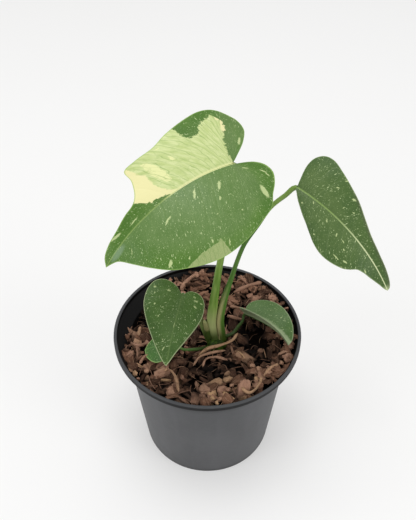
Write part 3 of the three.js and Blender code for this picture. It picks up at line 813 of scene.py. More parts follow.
# %% Leaf recipe
def leaf_recipe(start, key, under):
    leaf = LeafPattern(start)
    coats = [(specks(leaf), SPECK)]
    if key in SPOTS:
        across = leaf.across + leaf.ragged * 0.25
        along = leaf.along + leaf.ragged * 0.25 + (leaf.grain - 0.5) * 2.4
        coats.append((spot_field(along, across, SPOTS[key]).step(-0.3, 0.5) * 0.8, BLOTCH))
    if key in OWN_MARKS:
        coats += OWN_MARKS[key](leaf)
    tint, strength = STYLES[key]["rim"]
    coats += [*midrib_line(leaf, key), (leaf.rim.step(0.45, 0.2) * strength, tint)]
    rough = leaf.soft * 0.12 + 0.3 + leaf.flow * 0.1
    if under:
        coats.append((leaf.soft.step(-1, 3), "#8ba57b"))
        rough = leaf.soft * 0.1 + 0.55
    channel = leaf.off_midrib.step(1.2, 0.2)
    height = leaf.ribs * -0.05 + leaf.twigs * 0.02 + channel * 0.1 + leaf.grain * 0.03
    return shading(layers(green_tissue(leaf, key), *coats), rough, height, 0.28)


for key, blade in blades.items():
    upper = new_material(f"leaf_{key}_upper", leaf_recipe, key, False)
    under = new_material(f"leaf_{key}_under", leaf_recipe, key, True)
    slot_name = "leaf_cream" if key == "large" else "leaf"
    finish_piece(blade, slot_name, [upper, under], f"leaf_{key}")

# %% [markdown]
# ## Stalks
#
# Each leaf stands on a round stalk that is thickest in the sheath at its foot. The sheath is
# a groove with two thin pale wings, which held the next leaf before it opened. Above, the
# stalk bends over in a knee and runs on under the blade as the midrib, getting thinner to the
# tip. One tube follows the whole way: a grid is wrapped round the path, with a groove pressed
# into its lower part.

# %% Stalk routes
STALKS = {
    "large": [
        [6.2, -4.6, 91, 2.7], [4.2, -4.2, 101, 3.1], [2.8, -3.6, 112, 3.2], [3.8, -2.5, 125, 2.9],
        [5, -1.5, 137, 2.45], [6.1, -0.4, 148, 2.15], [8.4, 1.2, 165, 1.95], [11, 4, 188, 1.75],
        [13.4, 6.6, 205, 1.6], [14.9, 7.6, 214, 1.55],
    ],
    "right": [
        [10, -5, 91, 2.4], [9, -4.6, 101, 2.6], [7.8, -3.9, 112, 2.7], [9.2, -2.4, 125, 2.5],
        [12, -1, 137, 1.8], [14.8, 0.2, 148, 1.45], [17, 1.2, 157, 1.35], [21, 3, 169.7, 1.3],
        [28.3, 5, 183, 1.35], [35.6, 7.8, 194.3, 1.3], [42.7, 10.6, 199.3, 1.35],
    ],
    "heart": [
        [2, -4.6, 91, 2], [-1.2, -3.5, 101, 2.1], [-4.6, -2.8, 113, 1.8], [-8.6, -4.6, 126, 1.4],
        [-12.2, -9.4, 138, 1.2], [-13.7, -15.6, 146, 1.15],
    ],
    "low_left": [
        [3.6, -9, 94, 1.2], [-2.5, -11.6, 94.6, 1.15], [-9, -13.4, 95.6, 1],
        [-14.5, -13.4, 95.4, 0.9],
    ],
    "low_right": [
        [10.7, -1.8, 94.2, 1.3], [15.4, -0.6, 95.2, 1.2], [20.3, 5.6, 96, 1.05],
        [23.4, 11, 96, 0.9],
    ],
}
KNEES = {"large": 1.1, "low_left": 1, "low_right": 1}
KNEE_BACK, KNEE_DOWN = 2.6, 1.6
STEPS_LONG, STEPS_SHORT = 130, 80
LONG_LEAF = 50

# The ridge under a blade: where it ends along the leaf, its radius there and how it thins.
RIDGE_END = 0.92
RIDGE_TIP = 0.28
RIDGE_TAPER = 0.8
STALK_SIDES = 20

# Direction that the groove faces, in degrees round the stalk, and its length in mm.
SHEATHS = {"large": (178, 46), "right": (20, 44), "heart": (190, 22)}

# Groove and wings of a sheath: angles in radians, depths as shares of the radius.
GROOVE_SPREAD, GROOVE_DEPTH = 0.3, 0.35
WING_TURN, WING_SPREAD, WING_HEIGHT = 0.62, 0.2, 0.15

# %% Tube maker
def carry_frame(path):
    """Directions across a path that turn with it and never twist."""
    forward = np.gradient(path, axis=0)
    forward /= np.linalg.norm(forward, axis=1, keepdims=True)
    first = np.cross(forward[0], (0, 1, 0))
    side = [first / np.linalg.norm(first)]
    for heading in forward[1:]:
        carried = side[-1] - heading * (side[-1] @ heading)
        side.append(carried / np.linalg.norm(carried))
    side = np.array(side)
    return side, np.cross(forward, side)


def make_tube(name, path, radii, sides, sheath=None, flat=1, pale=0):
    """A closed tube round a path. A sheath is (direction in degrees, length in mm)."""
    side, other = carry_frame(path)
    run = run_along(path)
    angle = np.linspace(0, 2 * np.pi, sides + 1)[:, None]
    girth = radii[None, :] + 0 * angle
    wing = pale + 0 * girth
    if sheath:
        turn, length = sheath
        off = (angle - math.radians(turn) + np.pi) % (2 * np.pi) - np.pi
        fade = np.clip(1 - run / length, 0, 1)[None, :] ** 0.6
        groove = np.exp(-((off / GROOVE_SPREAD) ** 2))
        edges = sum(np.exp(-(((off - a) / WING_SPREAD) ** 2)) for a in (WING_TURN, -WING_TURN))
        girth = girth * (1 - GROOVE_DEPTH * groove * fade + WING_HEIGHT * edges * fade)
        wing = np.maximum(edges * fade, 0.6 * groove * fade)
    around = np.cos(angle)[..., None] * side * girth[..., None]
    around = around + np.sin(angle)[..., None] * other * girth[..., None] * flat
    on_stalk = np.stack([run[None, :] + 0 * angle, angle / (2 * np.pi) + 0 * girth, wing], -1)
    tube = shaped_grid(name, path[None, :, :] + around, stalk=on_stalk)
    clean(tube)
    smooth(tube)
    return tube

# %% Stalk maker
def closed(path, radii):
    """Doubles both ends of a path at radius 0, so that its tube is closed."""
    places = np.vstack([path[:1], path, path[-1:]])
    places[0] -= (path[1] - path[0]) * 0.01
    places[-1] += (path[-1] - path[-2]) * 0.01
    return places, np.concatenate([[0], radii, [0]])


def make_stalk(key):
    leaf = LEAVES[key]
    midrib = Midrib(leaf)
    route = [list(point) for point in STALKS[key]]
    radius = route[-1][3]
    place, forward, _, normal = midrib.frame(np.array([0]))
    end = place[0] - normal[0] * (BLADE_THICKNESS + 0.85 * radius)
    if key in KNEES:
        knee = end - forward[0] * KNEE_BACK - normal[0] * KNEE_DOWN
        route.append([*knee, radius * KNEES[key]])
    route.append([*end, radius])
    for share in (0.03, *np.linspace(0.08, RIDGE_END, 10)):
        along = np.array([share * leaf["length"]])
        place, _, _, normal = midrib.frame(along)
        fade = (1 - share / RIDGE_END) ** RIDGE_TAPER
        thin = RIDGE_TIP + (0.8 * radius - RIDGE_TIP) * fade
        sunk = BLADE_THICKNESS + CHANNEL_DEPTH * (1 - share) + 0.55 * thin
        route.append([*(place[0] - normal[0] * sunk), thin])
    path = smooth_path(route, STEPS_LONG if leaf["length"] > LONG_LEAF else STEPS_SHORT, 0.5)
    places, radii = closed(path[:, :3], path[:, 3])
    return make_tube(f"stalk_{key}", places, radii, STALK_SIDES, SHEATHS.get(key))


stalks = {key: make_stalk(key) for key in STALKS}
print("stalks made:", len(stalks))

# %% Dry tip of a sheath beside the heart leaf's stalk
SHEATH_TIP = [[1.4, -5.6, 98, 1.7], [0, -5.8, 105, 1.7], [-1.4, -5.6, 112, 1.3], [-2, -5.4, 114, 0.8]]
TIP_STEPS, TIP_SIDES, TIP_FLAT = 16, 12, 0.8
PALE_FROM, PALE_RISE, PALE_MOST = 103, 6, 0.6

path = smooth_path(SHEATH_TIP, TIP_STEPS, 0.5)
places, radii = closed(path[:, :3], path[:, 3])
pale = np.clip((places[:, 2] - PALE_FROM) / PALE_RISE, 0, PALE_MOST)[None, :]
sheath_tip = make_tube("sheath_tip", places, radii, TIP_SIDES, flat=TIP_FLAT, pale=pale)
stalks["heart"] = join("stalk_heart", [stalks["heart"], sheath_tip])
print("faces with the dry tip:", len(stalks["heart"].data.polygons))

# %% [markdown]
# ## Stalk finish
#
# The stalks are fresh green with a waxy sheen. Pale streaks run along them where cells carry
# no green, and the wings of the sheaths are cream to straw-coloured. The foot in the crown is
# dark green. The length along the stalk and the angle round it are on the vertices, so streaks
# can be noise that is stretched far along the stalk.

# %% Stalk material
# Dark and light green, khaki above the foot, and how much of that khaki there is.
STALK_COLOURS = {
    "large": ("#5a7d28", "#7c9846", "#a3a873", 0.8),
    "right": ("#3c6419", "#53782c", "#47602c", 0.3),
    "heart": ("#4d6a2c", "#7c8c50", "#7d8455", 0.4),
    "low_left": ("#3c5f26", "#5f8038", "#4c6a2c", 0.2),
    "low_right": ("#2f4a1c", "#4a652a", "#3c5421", 0.2),
}
STRAW = "#a49c6c"
FOOT = "#283c08"


def stalk_recipe(start, key):
    dark, light, khaki, amount = STALK_COLOURS[key]
    run, turn, wing = start.attribute("stalk").parts()
    streaks = start.node("CombineXYZ", {0: run * 0.03, 1: turn * 5}).noise(1.6, 3)
    grain = start.object_place().noise(0.9, 3)
    coats = [(run.step(40, 18) * amount, khaki)]
    if key == "right":
        pale_side = (turn - 0.13).size().step(0.19, 0.08) * run.step(54, 30)
        coats += [(run.step(88, 112) * 0.7, "#7f9a4c"), (pale_side * 0.85, STRAW)]
    surface = layers(
        streaks.step(0.38, 0.66).mix(dark, light),
        *coats,
        (streaks.step(0.66, 0.76) * run.step(60, 20) * 0.6, STRAW),
        (run.step(19, 8) * 0.9, FOOT),
        (wing.step(0.3, 0.85) * 0.85, STRAW),
    )
    return shading(surface, grain * 0.2 + 0.35, streaks * 0.12 + grain * 0.05, 0.28)


for key, stalk in stalks.items():
    finish_piece(stalk, "stalk", [new_material(f"stalk_{key}", stalk_recipe, key)], f"petiole_{key}")

# %% [markdown]
# ## Crown
#
# The stalks meet in a short thick stem. Old leaf scars ring it, and its top is green where the
# sheaths clasp it. The stem is turned on a lathe, so to speak: one vertex is extruded along
# the profile and the line is spun once round its axis.

# %% Lathe
def turned(name, profile, sides, centre=(0, 0)):
    """Extrudes one vertex along a profile of [radius, height] in mm, then spins the line."""
    middle = (centre[0] * MM, centre[1] * MM, 0)
    start = (middle[0] + profile[0][0] * MM, middle[1], profile[0][1] * MM)
    piece = start_from(bpy.ops.mesh.primitive_plane_add, name, size=MM)
    with edit_all(piece):
        bpy.ops.mesh.merge(type="CENTER")
        bpy.ops.transform.translate(value=start)
        for (radius, height), (wider, higher) in zip(profile, profile[1:]):
            move = ((wider - radius) * MM, 0, (higher - height) * MM)
            bpy.ops.mesh.extrude_region_move(TRANSFORM_OT_translate={"value": move})
        bpy.ops.mesh.select_all(action="SELECT")
        bpy.ops.mesh.spin(steps=sides, angle=2 * math.pi, center=middle, axis=(0, 0, 1))
    clean(piece)
    return piece

# %% Crown
CROWN_CENTRE = (6.2, -4.8)
CROWN = [
    [0, 58], [3.6, 58.4], [6, 62], [6.5, 66], [6.1, 67], [6.6, 75], [6.1, 76], [6.6, 84],
    [6.2, 85], [6.7, 91], [6.3, 93.5], [5.2, 96], [3.2, 97.4], [0, 97.8],
]
CROWN_SIDES = 40
CROWN_SWELL = 0.07
CROWN_SWELL_START, CROWN_SWELL_END = 80, 90
CROWN_SMOOTH_ANGLE = 50

crown = turned("crown", CROWN, CROWN_SIDES, CROWN_CENTRE)
places = vertex_places(crown) / MM
off_axis = places[:, :2] - CROWN_CENTRE
swing = np.arctan2(off_axis[:, 1], off_axis[:, 0])
near_top = np.interp(places[:, 2], [CROWN_SWELL_START, CROWN_SWELL_END], [0, 1])
swell = 1 + CROWN_SWELL * np.sin(3 * swing + 1) * near_top
places[:, :2] = CROWN_CENTRE + off_axis * swell[:, None]
move_vertices(crown, places)
smooth(crown, CROWN_SMOOTH_ANGLE)


def crown_recipe(start):
    place = start.object_place()
    streaks = place.stretch((1, 1, 0.25)).noise(0.6, 4)
    surface = layers(
        streaks.step(0.35, 0.7).mix("#1c2d06", "#3d5714"),
        (place.parts()[2].step(92, 88), "#5a4a2c"),
    )
    return shading(surface, streaks * 0.2 + 0.45, streaks * 0.5, 0.15)


finish_piece(crown, "crown", [new_material("crown", crown_recipe)], "stem")

# %% [markdown]
# ## Pot
#
# The pot is a thin shell of dark grey plastic: a tapered tub that flares into a collar and ends
# in a narrow lip. The profile goes up the outside, over the lip and down the inside. It is
# spun on the same lathe as the crown. A bevel rounds its edges, and eight cylinders cut the
# drain holes.

# %% Pot
POT_OUTSIDE = [
    [0, 0], [9, 0], [9.8, 2.2], [40.4, 2.2], [41.2, 0], [44.2, 0], [44.6, 0.6], [52.8, 90],
    [59.4, 96], [60, 96.8], [60, 99.6], [59.4, 100], [58.3, 100], [58, 99.6],
]
POT_INSIDE = [[58, 96.8], [51.4, 90], [43.3, 4.4], [0, 4.2]]
POT_SIDES = 144
POT_SMOOTH_ANGLE = 35
DRAIN_COUNT = 8
DRAIN_CIRCLE = 31
DRAIN_RADIUS = 4
DRAIN_DEPTH = 12
DRAIN_MIDDLE = 3
DRAIN_SIDES = 32
EDGE = {"width": 0.35 * MM, "segments": 3, "angle_limit": math.radians(40)}


def on_circle(radius, swing):
    return radius * math.cos(swing), radius * math.sin(swing)


pot = turned("pot_shell", POT_OUTSIDE + POT_INSIDE, POT_SIDES)
for index in range(DRAIN_COUNT):
    x, y = on_circle(DRAIN_CIRCLE, 2 * math.pi * index / DRAIN_COUNT)
    drill = start_from(
        bpy.ops.mesh.primitive_cylinder_add,
        "drill",
        vertices=DRAIN_SIDES,
        radius=DRAIN_RADIUS * MM,
        depth=DRAIN_DEPTH * MM,
        location=(x * MM, y * MM, DRAIN_MIDDLE * MM),
    )
    add_modifier(pot, "BOOLEAN", operation="DIFFERENCE", solver="EXACT", object=drill)
    bpy.data.objects.remove(drill)
add_modifier(pot, "BEVEL", limit_method="ANGLE", **EDGE)
smooth(pot, POT_SMOOTH_ANGLE)
print("drain holes:", DRAIN_COUNT)

# %% Pot material
WALL_LINE = [[0, 44], [90, 52.8], [96, 59.2], [100, 60]]


def pot_recipe(start):
    place = start.object_place()
    x, y, height = place.parts()
    # inside: the inner wall and floor of the pot, which are painted nearly black as shade.
    inside = (height.profile(WALL_LINE) - (x * x + y * y).power(0.5)).step(0.5, 1.3)
    cloud = place.noise(0.035, 3)
    scuff = place.stretch((1, 1, 3)).noise(0.25, 4)
    # Vertical streaks that carry a painted reflection on the wall.
    streaks = place.stretch((0.09, 0.09, 0.004)).noise(1, 3)
    surface = layers(
        cloud.step(0.3, 0.7).mix("#48494b", "#515254"),
        (scuff.step(0.62, 0.75) * 0.2, "#5d5e60"),
        # Painted reflection: faint lighter vertical streaks.
        (streaks.step(0.45, 0.65) * 0.2, "#5c5c60"),
        (height.step(6, 0), "#3a3b3d"),
        # Painted shadow of the rim: the wall darkens from 80 mm up into the collar.
        (height.step(80, 90) * 0.8, "#0c0c0d"),
        # Painted shade: the lip's outer face is nearly black, and its top face is grey again.
        (height.step(96, 96.6), "#101011"),
        (height.step(99, 99.8), "#454648"),
        # Painted shade: the inside of the pot is nearly black up to the lip's top.
        (inside * height.step(99.7, 99.2), "#050505"),
    )
    bumps = place.noise(2.2) * 0.03 + cloud * 0.2
    return shading(surface, cloud * 0.12 + scuff * 0.1 + 0.42, bumps, 0.2)


finish_piece(pot, "pot", [new_material("pot_plastic", pot_recipe)], "pot")

# %% [markdown]
# ## Potting mix
#
# The pot is filled with bark and coconut husk: flakes, chunks and slivers of 3 to 16 mm over a
# dark bed, painted nearly black as shade, with deep gaps between them. Modelling each by hand
# would take days, so a few shapes are made from a subdivided cube and copied some hundred times.
# Each copy has its own mesh, size, turn and shade. They follow the height of the mix in the
# solids, which is lower at the back left and beside the crown. Deeper chips are painted nearly
# black, as painted shade of the gaps, so every vertex also keeps how far it stands out of the mix.

# %% Height of the mix
RIM_RADIUS = 60
WALL_TOP_RADIUS = 52.8
MIX_LEVEL = 92.4
RISE_TO_RIM = 3.4
SLOPE_TURN = math.radians(-35)
INNER_RADII, INNER_HEIGHTS = np.array(POT_INSIDE[2::-1]).T

# Dips of the surface: [x, y, reach, depth].
DIPS = [[-47, 22, 18, 6.5], [27, 2, 10, 2.4]]

# Hollows, where chips lie lower and fewer and are painted dark as shade: [x, y, reach, darkness].
HOLLOWS = [
    [28, -3, 9, 0.95], [24, 6, 7, 0.7], [0, -29, 8, 0.8], [-44, 26, 12, 0.9],
    [-10, -48, 5, 0.6], [16, -26, 6, 0.5], [-3, 10, 8, 0.6], [38, -22, 5, 0.5],
    [37, -8, 8, 0.5],
]


def spread(x, y, spots):
    """For each spot [x, y, reach, amount], its amount with a smooth fall around it."""
    return [k * np.exp(-((x - a) ** 2 + (y - b) ** 2) / (2 * r**2)) for a, b, r, k in spots]


def mix_height(x, y):
    slope = (x * math.cos(SLOPE_TURN) + y * math.sin(SLOPE_TURN)) / WALL_TOP_RADIUS
    rise = RISE_TO_RIM * (np.hypot(x, y) / RIM_RADIUS) ** 2
    return MIX_LEVEL + slope + rise - sum(spread(x, y, DIPS))


def darkness(x, y):
    return np.max(spread(x, y, HOLLOWS), axis=0)


def keep_inside(places, gap):
    """Moves the places that are outside the pot's inner wall to a gap from it."""
    inner_radius = np.interp(places[..., 2], INNER_HEIGHTS, INNER_RADII)
    far = np.hypot(places[..., 0], places[..., 1]) / (inner_radius - gap)
    held = places.copy()
    held[..., :2] /= np.maximum(far, 1)[..., None]
    return held


print("height of the mix in the middle:", round(float(mix_height(0, 0)), 1))

# %% Bed
BED_DROP = 3.6
BED_RADIUS = 57
BED_RINGS, BED_SIDES = 48, 120
ring = BED_RADIUS * np.linspace(0, 1, BED_RINGS + 1)[None, :]
swing = np.linspace(0, 2 * np.pi, BED_SIDES + 1)[:, None]
bed_x, bed_y = ring * np.cos(swing), ring * np.sin(swing)
lumps = np.sin(bed_x * 0.9) * np.cos(bed_y * 0.8) + np.sin(bed_x * 0.37 + bed_y * 0.53)
bed_z = mix_height(bed_x, bed_y) - BED_DROP + 0.5 * lumps
bed = shaped_grid("mix_bed", keep_inside(np.stack([bed_x, bed_y, bed_z], -1), 0.1))
clean(bed)
smooth(bed)


def bed_recipe(start):
    crumbs = start.object_place().noise(0.5, 5, 0.7)
    # The bed is nearly black: painted shade of the deep gaps where it shows between the chips.
    surface = crumbs.step(0.4, 0.75).mix("#080504", "#1c120d")
    return shading(surface, crumbs * 0.1 + 0.9, crumbs * 1.2, 0.05)


finish_piece(bed, "mix", [new_material("mix_bed", bed_recipe)], "potting_mix")

# %% Chip shapes
VARIANTS = 4
CUBE_CORNER = 0.866
CHIP_KINDS = {
    "flake": {"size": (11, 6, 1.6), "bend": 0.02, "wear": 0.3, "cuts": 2, "count": 210},
    "chunk": {"size": (7.5, 5.5, 4), "bend": 0, "wear": 0.4, "cuts": 2, "count": 110},
    "sliver": {"size": (13, 2.4, 1.4), "bend": 0.03, "wear": 0.25, "cuts": 2, "count": 190},
    "curl": {"size": (14, 3.2, 1.4), "bend": 0.09, "wear": 0.2, "cuts": 2, "count": 70},
    "crumb": {"size": (3.8, 2.6, 1.8), "bend": 0, "wear": 0.4, "cuts": 1, "count": 420},
}


def chip_shape(name, kind):
    """A block with worn, uneven corners that may be bent along its length."""
    chip = start_from(bpy.ops.mesh.primitive_cube_add, name, size=1)
    with edit_all(chip):
        bpy.ops.mesh.subdivide(number_cuts=kind["cuts"])
    wear, bend = kind["wear"], kind["bend"]
    place = vertex_places(chip)
    near_corner = np.linalg.norm(place, axis=1, keepdims=True) / CUBE_CORNER
    place *= 1 - 0.7 * wear * near_corner**3
    place *= 1 + wear * (random.random(place.shape) - 0.5) * 1.4
    place[:, 1] *= 1 + 0.5 * wear * np.sin(5 * place[:, 0] + random.uniform(0, 6))
    place *= kind["size"]
    place[:, 2] -= bend * place[:, 0] ** 2
    place[:, 1] += bend * 0.5 * place[:, 0] ** 2
    move_vertices(chip, place)
    return chip


shapes = {
    name: [chip_shape(name, kind) for _ in range(VARIANTS)] for name, kind in CHIP_KINDS.items()
}
print("chip shapes:", VARIANTS * len(shapes))

# %% Laying a chip
CROWN_SPACE = 8

# Room below the low leaves: [x, y, radius]. Bright spots: [x, y, reach, brightness].
LEAF_SPACE = [[-24, -14, 8], [36, 4, 10]]
BRIGHT_CLUSTERS = [[7, -46, 8, 0.35], [-29, -42, 8, 0.1], [30, -42, 7, 0.2]]

# How far a chip lies above the mix, and how much a leaf, a hollow and the rim add to it.
CHIP_LIFT = (-2.8, 1.6)
BELOW_LEAF, IN_HOLLOW, BY_RIM = -1.2, -2.5, 1.8
CHIP_TIP, CHIP_LEAN = 0.42, 0.5
CHIP_SCALE = (0.6, 1.15)
# Painted shade of the gaps: a chip is fully dark below the first height above the mix, in mm, and
# free of it above the second.
PAINTED_SHADE_BELOW, UNSHADED_ABOVE = -2.6, 1.4


def smoothstep(value, low, high):
    share = np.clip((value - low) / (high - low), 0, 1)
    return share * share * (3 - 2 * share)


def beside_crown(x, y):
    return math.hypot(x - CROWN_CENTRE[0], y - CROWN_CENTRE[1]) < CROWN_SPACE


def brightness(x, y):
    shaded = 0.35 * darkness(x, y) + 0.15 * smoothstep(y, 0, 30)
    return random.random() * 0.95 + max(spread(x, y, BRIGHT_CLUSTERS)) - shaded


def add_chip(source, x, y):
    """A copy of the source with its own mesh, laid on the mix at x, y."""
    under_leaf = any(math.hypot(x - a, y - b) < r for a, b, r in LEAF_SPACE)
    rise = BY_RIM * smoothstep(math.hypot(x, y), 36, 52) * smoothstep(x + 0.6 * y, -10, 30)
    sink = BELOW_LEAF * under_leaf + IN_HOLLOW * darkness(x, y)
    lift = random.uniform(*CHIP_LIFT) + sink + rise
    spin = Matrix.Rotation(random.uniform(0, 2 * math.pi), 4, "Z")
    tip = Matrix.Rotation(random.normal(0, CHIP_TIP), 4, "Y")
    lean = Matrix.Rotation(random.normal(0, CHIP_LEAN), 4, "X")
    spot = Matrix.Translation((x, y, mix_height(x, y) + lift))
    move = np.array(spot @ spin @ tip @ lean @ Matrix.Scale(random.uniform(*CHIP_SCALE), 4))
    flat = vertex_places(source) / MM
    placed = keep_inside(flat @ move[:3, :3].T + move[:3, 3], 0.15)
    chip = source.copy()
    chip.data = source.data.copy()
    bpy.context.collection.objects.link(chip)
    move_vertices(chip, placed)
    stands_out = placed[:, 2] - mix_height(placed[:, 0], placed[:, 1])
    shade = 0.8 * darkness(placed[:, 0], placed[:, 1])
    # Painted shade: vertices deep in the mix and in the hollows darken towards near-black.
    dry = smoothstep(stands_out, PAINTED_SHADE_BELOW, UNSHADED_ABOVE) * (1 - shade)
    tone = brightness(x, y)
    set_attributes(chip, tone=tone, dry=dry, grain=flat + random.uniform(0, 60, 3))
    return chip

# %% Chips
CHIP_REACH = 56
CHIP_SMOOTH_ANGLE = 28
GOLDEN_ANGLE = math.pi * (3 - math.sqrt(5))

chips = []
for name, kind in CHIP_KINDS.items():
    for index in range(kind["count"]):
        radius = CHIP_REACH * math.sqrt((index + random.random()) / kind["count"])
        x, y = on_circle(radius, index * GOLDEN_ANGLE + random.random() * 0.8)
        if beside_crown(x, y) or random.random() < 0.8 * darkness(x, y):
            continue
        chips.append(add_chip(shapes[name][index % VARIANTS], x, y))
for source in sum(shapes.values(), []):
    bpy.data.objects.remove(source)
print("chips:", len(chips))
chip_pile = join("chips", chips)
smooth(chip_pile, CHIP_SMOOTH_ANGLE)

# %% Chip material
def chip_recipe(start):
    tone = start.attribute("tone", "Fac")
    dry = start.attribute("dry", "Fac")
    grain = start.attribute("grain")
    fibre = grain.stretch((0.14, 1.8, 1.8)).noise(1, 4, 0.65)
    blotch = grain.noise(0.25, 3)
    surface = layers(
        tone.step(0, 0.4).mix("#422c21", "#7a5744"),
        (tone.step(0.4, 0.75), "#a57e69"),
        (tone.step(0.75, 1.05), "#c49e78"),
        (fibre.step(0.5, 0.75) * 0.5, "#c3a386"),
        (fibre.step(0.45, 0.25) * 0.6, "#2c1b14"),
        (blotch.step(0.5, 0.3) * 0.5, "#2a1812"),
    )
    height = fibre * 0.7 + blotch * 0.3
    # Painted shade: near-black where the chip lies deep or in a hollow.
    return shading(dry.mix("#0a0605", surface), fibre * 0.15 + 0.8, height, 0.15)


chip_material = new_material("bark_and_husk", chip_recipe)
finish_piece(chip_pile, "mix", [chip_material])

# %% [markdown]
# ## Strips and fibres
#
# Long strips of husk lie on top where the picture shows them, and thin coir fibres stick out
# between the chips. Both are tubes like the stalks, flattened for the strips.

# %% Strips
# Width and tone of a strip, then its route.
STRIPS = [
    (1.9, 0.75, [[-19, 40, 95], [-12, 49, 97], [-6, 54, 97.5]]),
    (1.9, 0.5, [[-8, 53, 96.5], [4, 51, 97.5]]),
    (1.7, 0.7, [[18, 36, 96], [28, 40, 98.5], [38, 43, 99]]),
    (1.2, 0.8, [[15, 24, 95], [21, 22, 96], [27, 19, 96]]),
    (1.4, 0.7, [[13, 16, 95], [18, 13, 96], [24, 12, 95]]),
    (1.3, 0.95, [[-6, -18, 94.6], [0, -13.4, 96.2], [8, -10.8, 96.6], [16, -6, 96], [20, 1, 95]]),
    (1, 0.85, [[-9, -26, 94.8], [-5, -20, 96.2], [4, -16.6, 96.8], [12, -14, 95.6]]),
    (0.8, 0.8, [[-3, -27, 95], [-1, -22, 96.6], [5, -20, 96.4], [13, -22, 95.6]]),
    (0.9, 1.1, [[18.6, -15, 96], [21.4, -18, 96.8], [23.4, -21, 96]]),
    (1.1, 0.8, [[-42, -26, 97], [-38, -21, 99], [-33, -24, 97]]),
    (1.5, 0.9, [[-23, -29, 96], [-19, -37, 98], [-17, -47, 97]]),
    (1.6, 0.9, [[34, -36, 97.5], [39, -30, 98.6], [44, -27, 98.2]]),
    (1.4, 0.95, [[19, -43, 97.5], [25, -48, 98], [31, -42, 98.6], [33, -36, 98]]),
    (1.2, 0.8, [[-49, -8, 96], [-44, -12, 98], [-38, -10, 97]]),
    (1.1, 0.7, [[44, 8, 96.5], [41, 17, 98], [36, 24, 97]]),
]
STRIP_FLAT = 0.55
STRIP_STEPS, STRIP_SIDES = 16, 8

strips = []
for width, tone, route in STRIPS:
    path = smooth_path(route, STRIP_STEPS, 0.5)
    waves = np.sin(np.linspace(0, 9, STRIP_STEPS + 1) + random.uniform(0, 6))
    radii = width * (1 + 0.2 * waves)
    radii[[0, -1]] = 0
    radii[[1, -2]] *= 0.7
    strip = make_tube("strip", path, radii, STRIP_SIDES, flat=STRIP_FLAT)
    run = np.zeros(len(strip.data.vertices) * 3)
    strip.data.attributes["stalk"].data.foreach_get("vector", run)
    along_fibre = run.reshape(-1, 3) * (1, 6, 0) + random.uniform(0, 50, 3)
    # Strips lie on top and get only a trace of painted shade.
    set_attributes(strip, tone=tone, dry=0.95, grain=along_fibre)
    strips.append(strip)
print("strips:", len(strips))

# %% Fibres
FIBRE_COUNT = 190
FIBRE_REACH = 54
FIBRE_STEPS, FIBRE_SIDES = 7, 4
FIBRE_LENGTH = (5, 13)
FIBRE_RADIUS = (0.14, 0.32)

for index in range(FIBRE_COUNT):
    radius = FIBRE_REACH * math.sqrt((index + 0.5) / FIBRE_COUNT)
    x, y = on_circle(radius, index * GOLDEN_ANGLE * 1.7)
    if beside_crown(x, y):
        continue
    length = random.uniform(*FIBRE_LENGTH)
    heading = random.uniform(0, 2 * math.pi)
    middle = mix_height(x, y) + random.uniform(0.2, 2) - 3 * darkness(x, y)
    ends = []
    for share in (-0.5, 0, 0.5):
        off_x, off_y = on_circle(share * length, heading + share * random.uniform(-1.2, 1.2))
        ends.append([x + off_x, y + off_y, middle - 5 * share**2 + random.uniform(-0.6, 0.6)])
    path = keep_inside(smooth_path(ends, FIBRE_STEPS, 0.5), 0.5)
    radii = np.full(FIBRE_STEPS + 1, random.uniform(*FIBRE_RADIUS))
    radii[[0, -1]] = 0
    fibre = make_tube("fibre", path, radii, FIBRE_SIDES)
    # Fibres in the hollows get painted shade.
    tone, dry = random.uniform(0.6, 1), 0.85 - 0.6 * darkness(x, y)
    set_attributes(fibre, tone=tone, dry=dry, grain=vertex_places(fibre) / MM)
    strips.append(fibre)
husk = join("husk_strips", strips)
finish_piece(husk, "mix", [chip_material])

# %% [markdown]
# ## Floor, light and camera
#
# The plant stands on a plain pale floor. A white world gives even light. A large soft lamp
# overhead gives the leaves their sheen and the gaps of the mix their shade, over the painted sheen
# and painted shade in their colours, and two lamps at the sides brighten the pot's flanks. The
# floor glows a little, as the picture has hardly any shadow on it. The camera looks 43 degrees
# down, from where the photograph was taken.

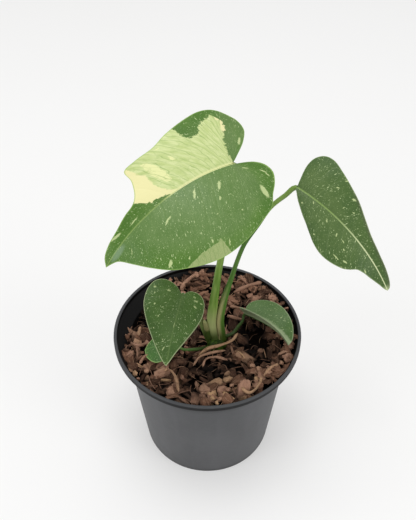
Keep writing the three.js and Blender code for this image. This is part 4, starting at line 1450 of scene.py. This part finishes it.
# %% Floor
FLOOR_SIZE = 40
FLOOR_LEVEL = -0.0002
FLOOR_GLOW = 0.43
place = (0, 0, FLOOR_LEVEL)
floor = start_from(bpy.ops.mesh.primitive_plane_add, "floor", size=FLOOR_SIZE, location=place)


def floor_recipe(start):
    cloud = start.node("TexCoord", {}, "Object").noise(1.5)
    return {
        "Base Color": cloud.mix("#b9b9b8", "#bcbcbc"),
        "Roughness": 0.9,
        "Specular IOR Level": 0,
        "Emission Color": cloud.mix("#f3f2f1", "#f5f5f5"),
        "Emission Strength": FLOOR_GLOW,
    }


floor.data.materials.append(new_material("floor", floor_recipe))
print("floor at", FLOOR_LEVEL)

# %% Lights
WORLD_STRENGTH = 0.66
LAMP_TARGET = Vector((0, 0, 0.12))

# Place, size and power of each lamp.
LAMPS = {
    "overhead": ((-0.1, 0.1, 1.5), 0.8, 8.5),
    "left": ((-1.5, -0.9, 0.9), 1, 8),
    "right": ((1.5, -0.9, 0.9), 1, 8.5),
}

world = bpy.data.worlds.new("studio")
bpy.context.scene.world = world
world.use_nodes = True
sky = world.node_tree.nodes["Background"].inputs
sky["Color"].default_value = (1, 1, 1, 1)
sky["Strength"].default_value = WORLD_STRENGTH
for name, (place, size, power) in LAMPS.items():
    lamp = start_from(bpy.ops.object.light_add, name, type="AREA", location=place)
    lamp.data.shape = "DISK"
    lamp.data.size = size
    lamp.data.energy = power
    lamp.rotation_euler = (LAMP_TARGET - Vector(place)).to_track_quat("-Z", "Y").to_euler()
print("lamps:", ", ".join(LAMPS))

# %% Camera
CAMERA_PLACE = (0.0004, -0.2737, 0.4186)
CAMERA_TILT = math.radians(46.7)
FOCAL_LENGTH = 45
SENSOR_WIDTH = 36

camera = start_from(bpy.ops.object.camera_add, "camera", location=CAMERA_PLACE)
camera.rotation_euler = (CAMERA_TILT, 0, 0)
camera.data.lens = FOCAL_LENGTH
camera.data.sensor_width = SENSOR_WIDTH
camera.data.clip_start = 0.01
bpy.context.scene.camera = camera
bpy.context.scene.view_settings.view_transform = "Standard"
print("camera at", CAMERA_PLACE)
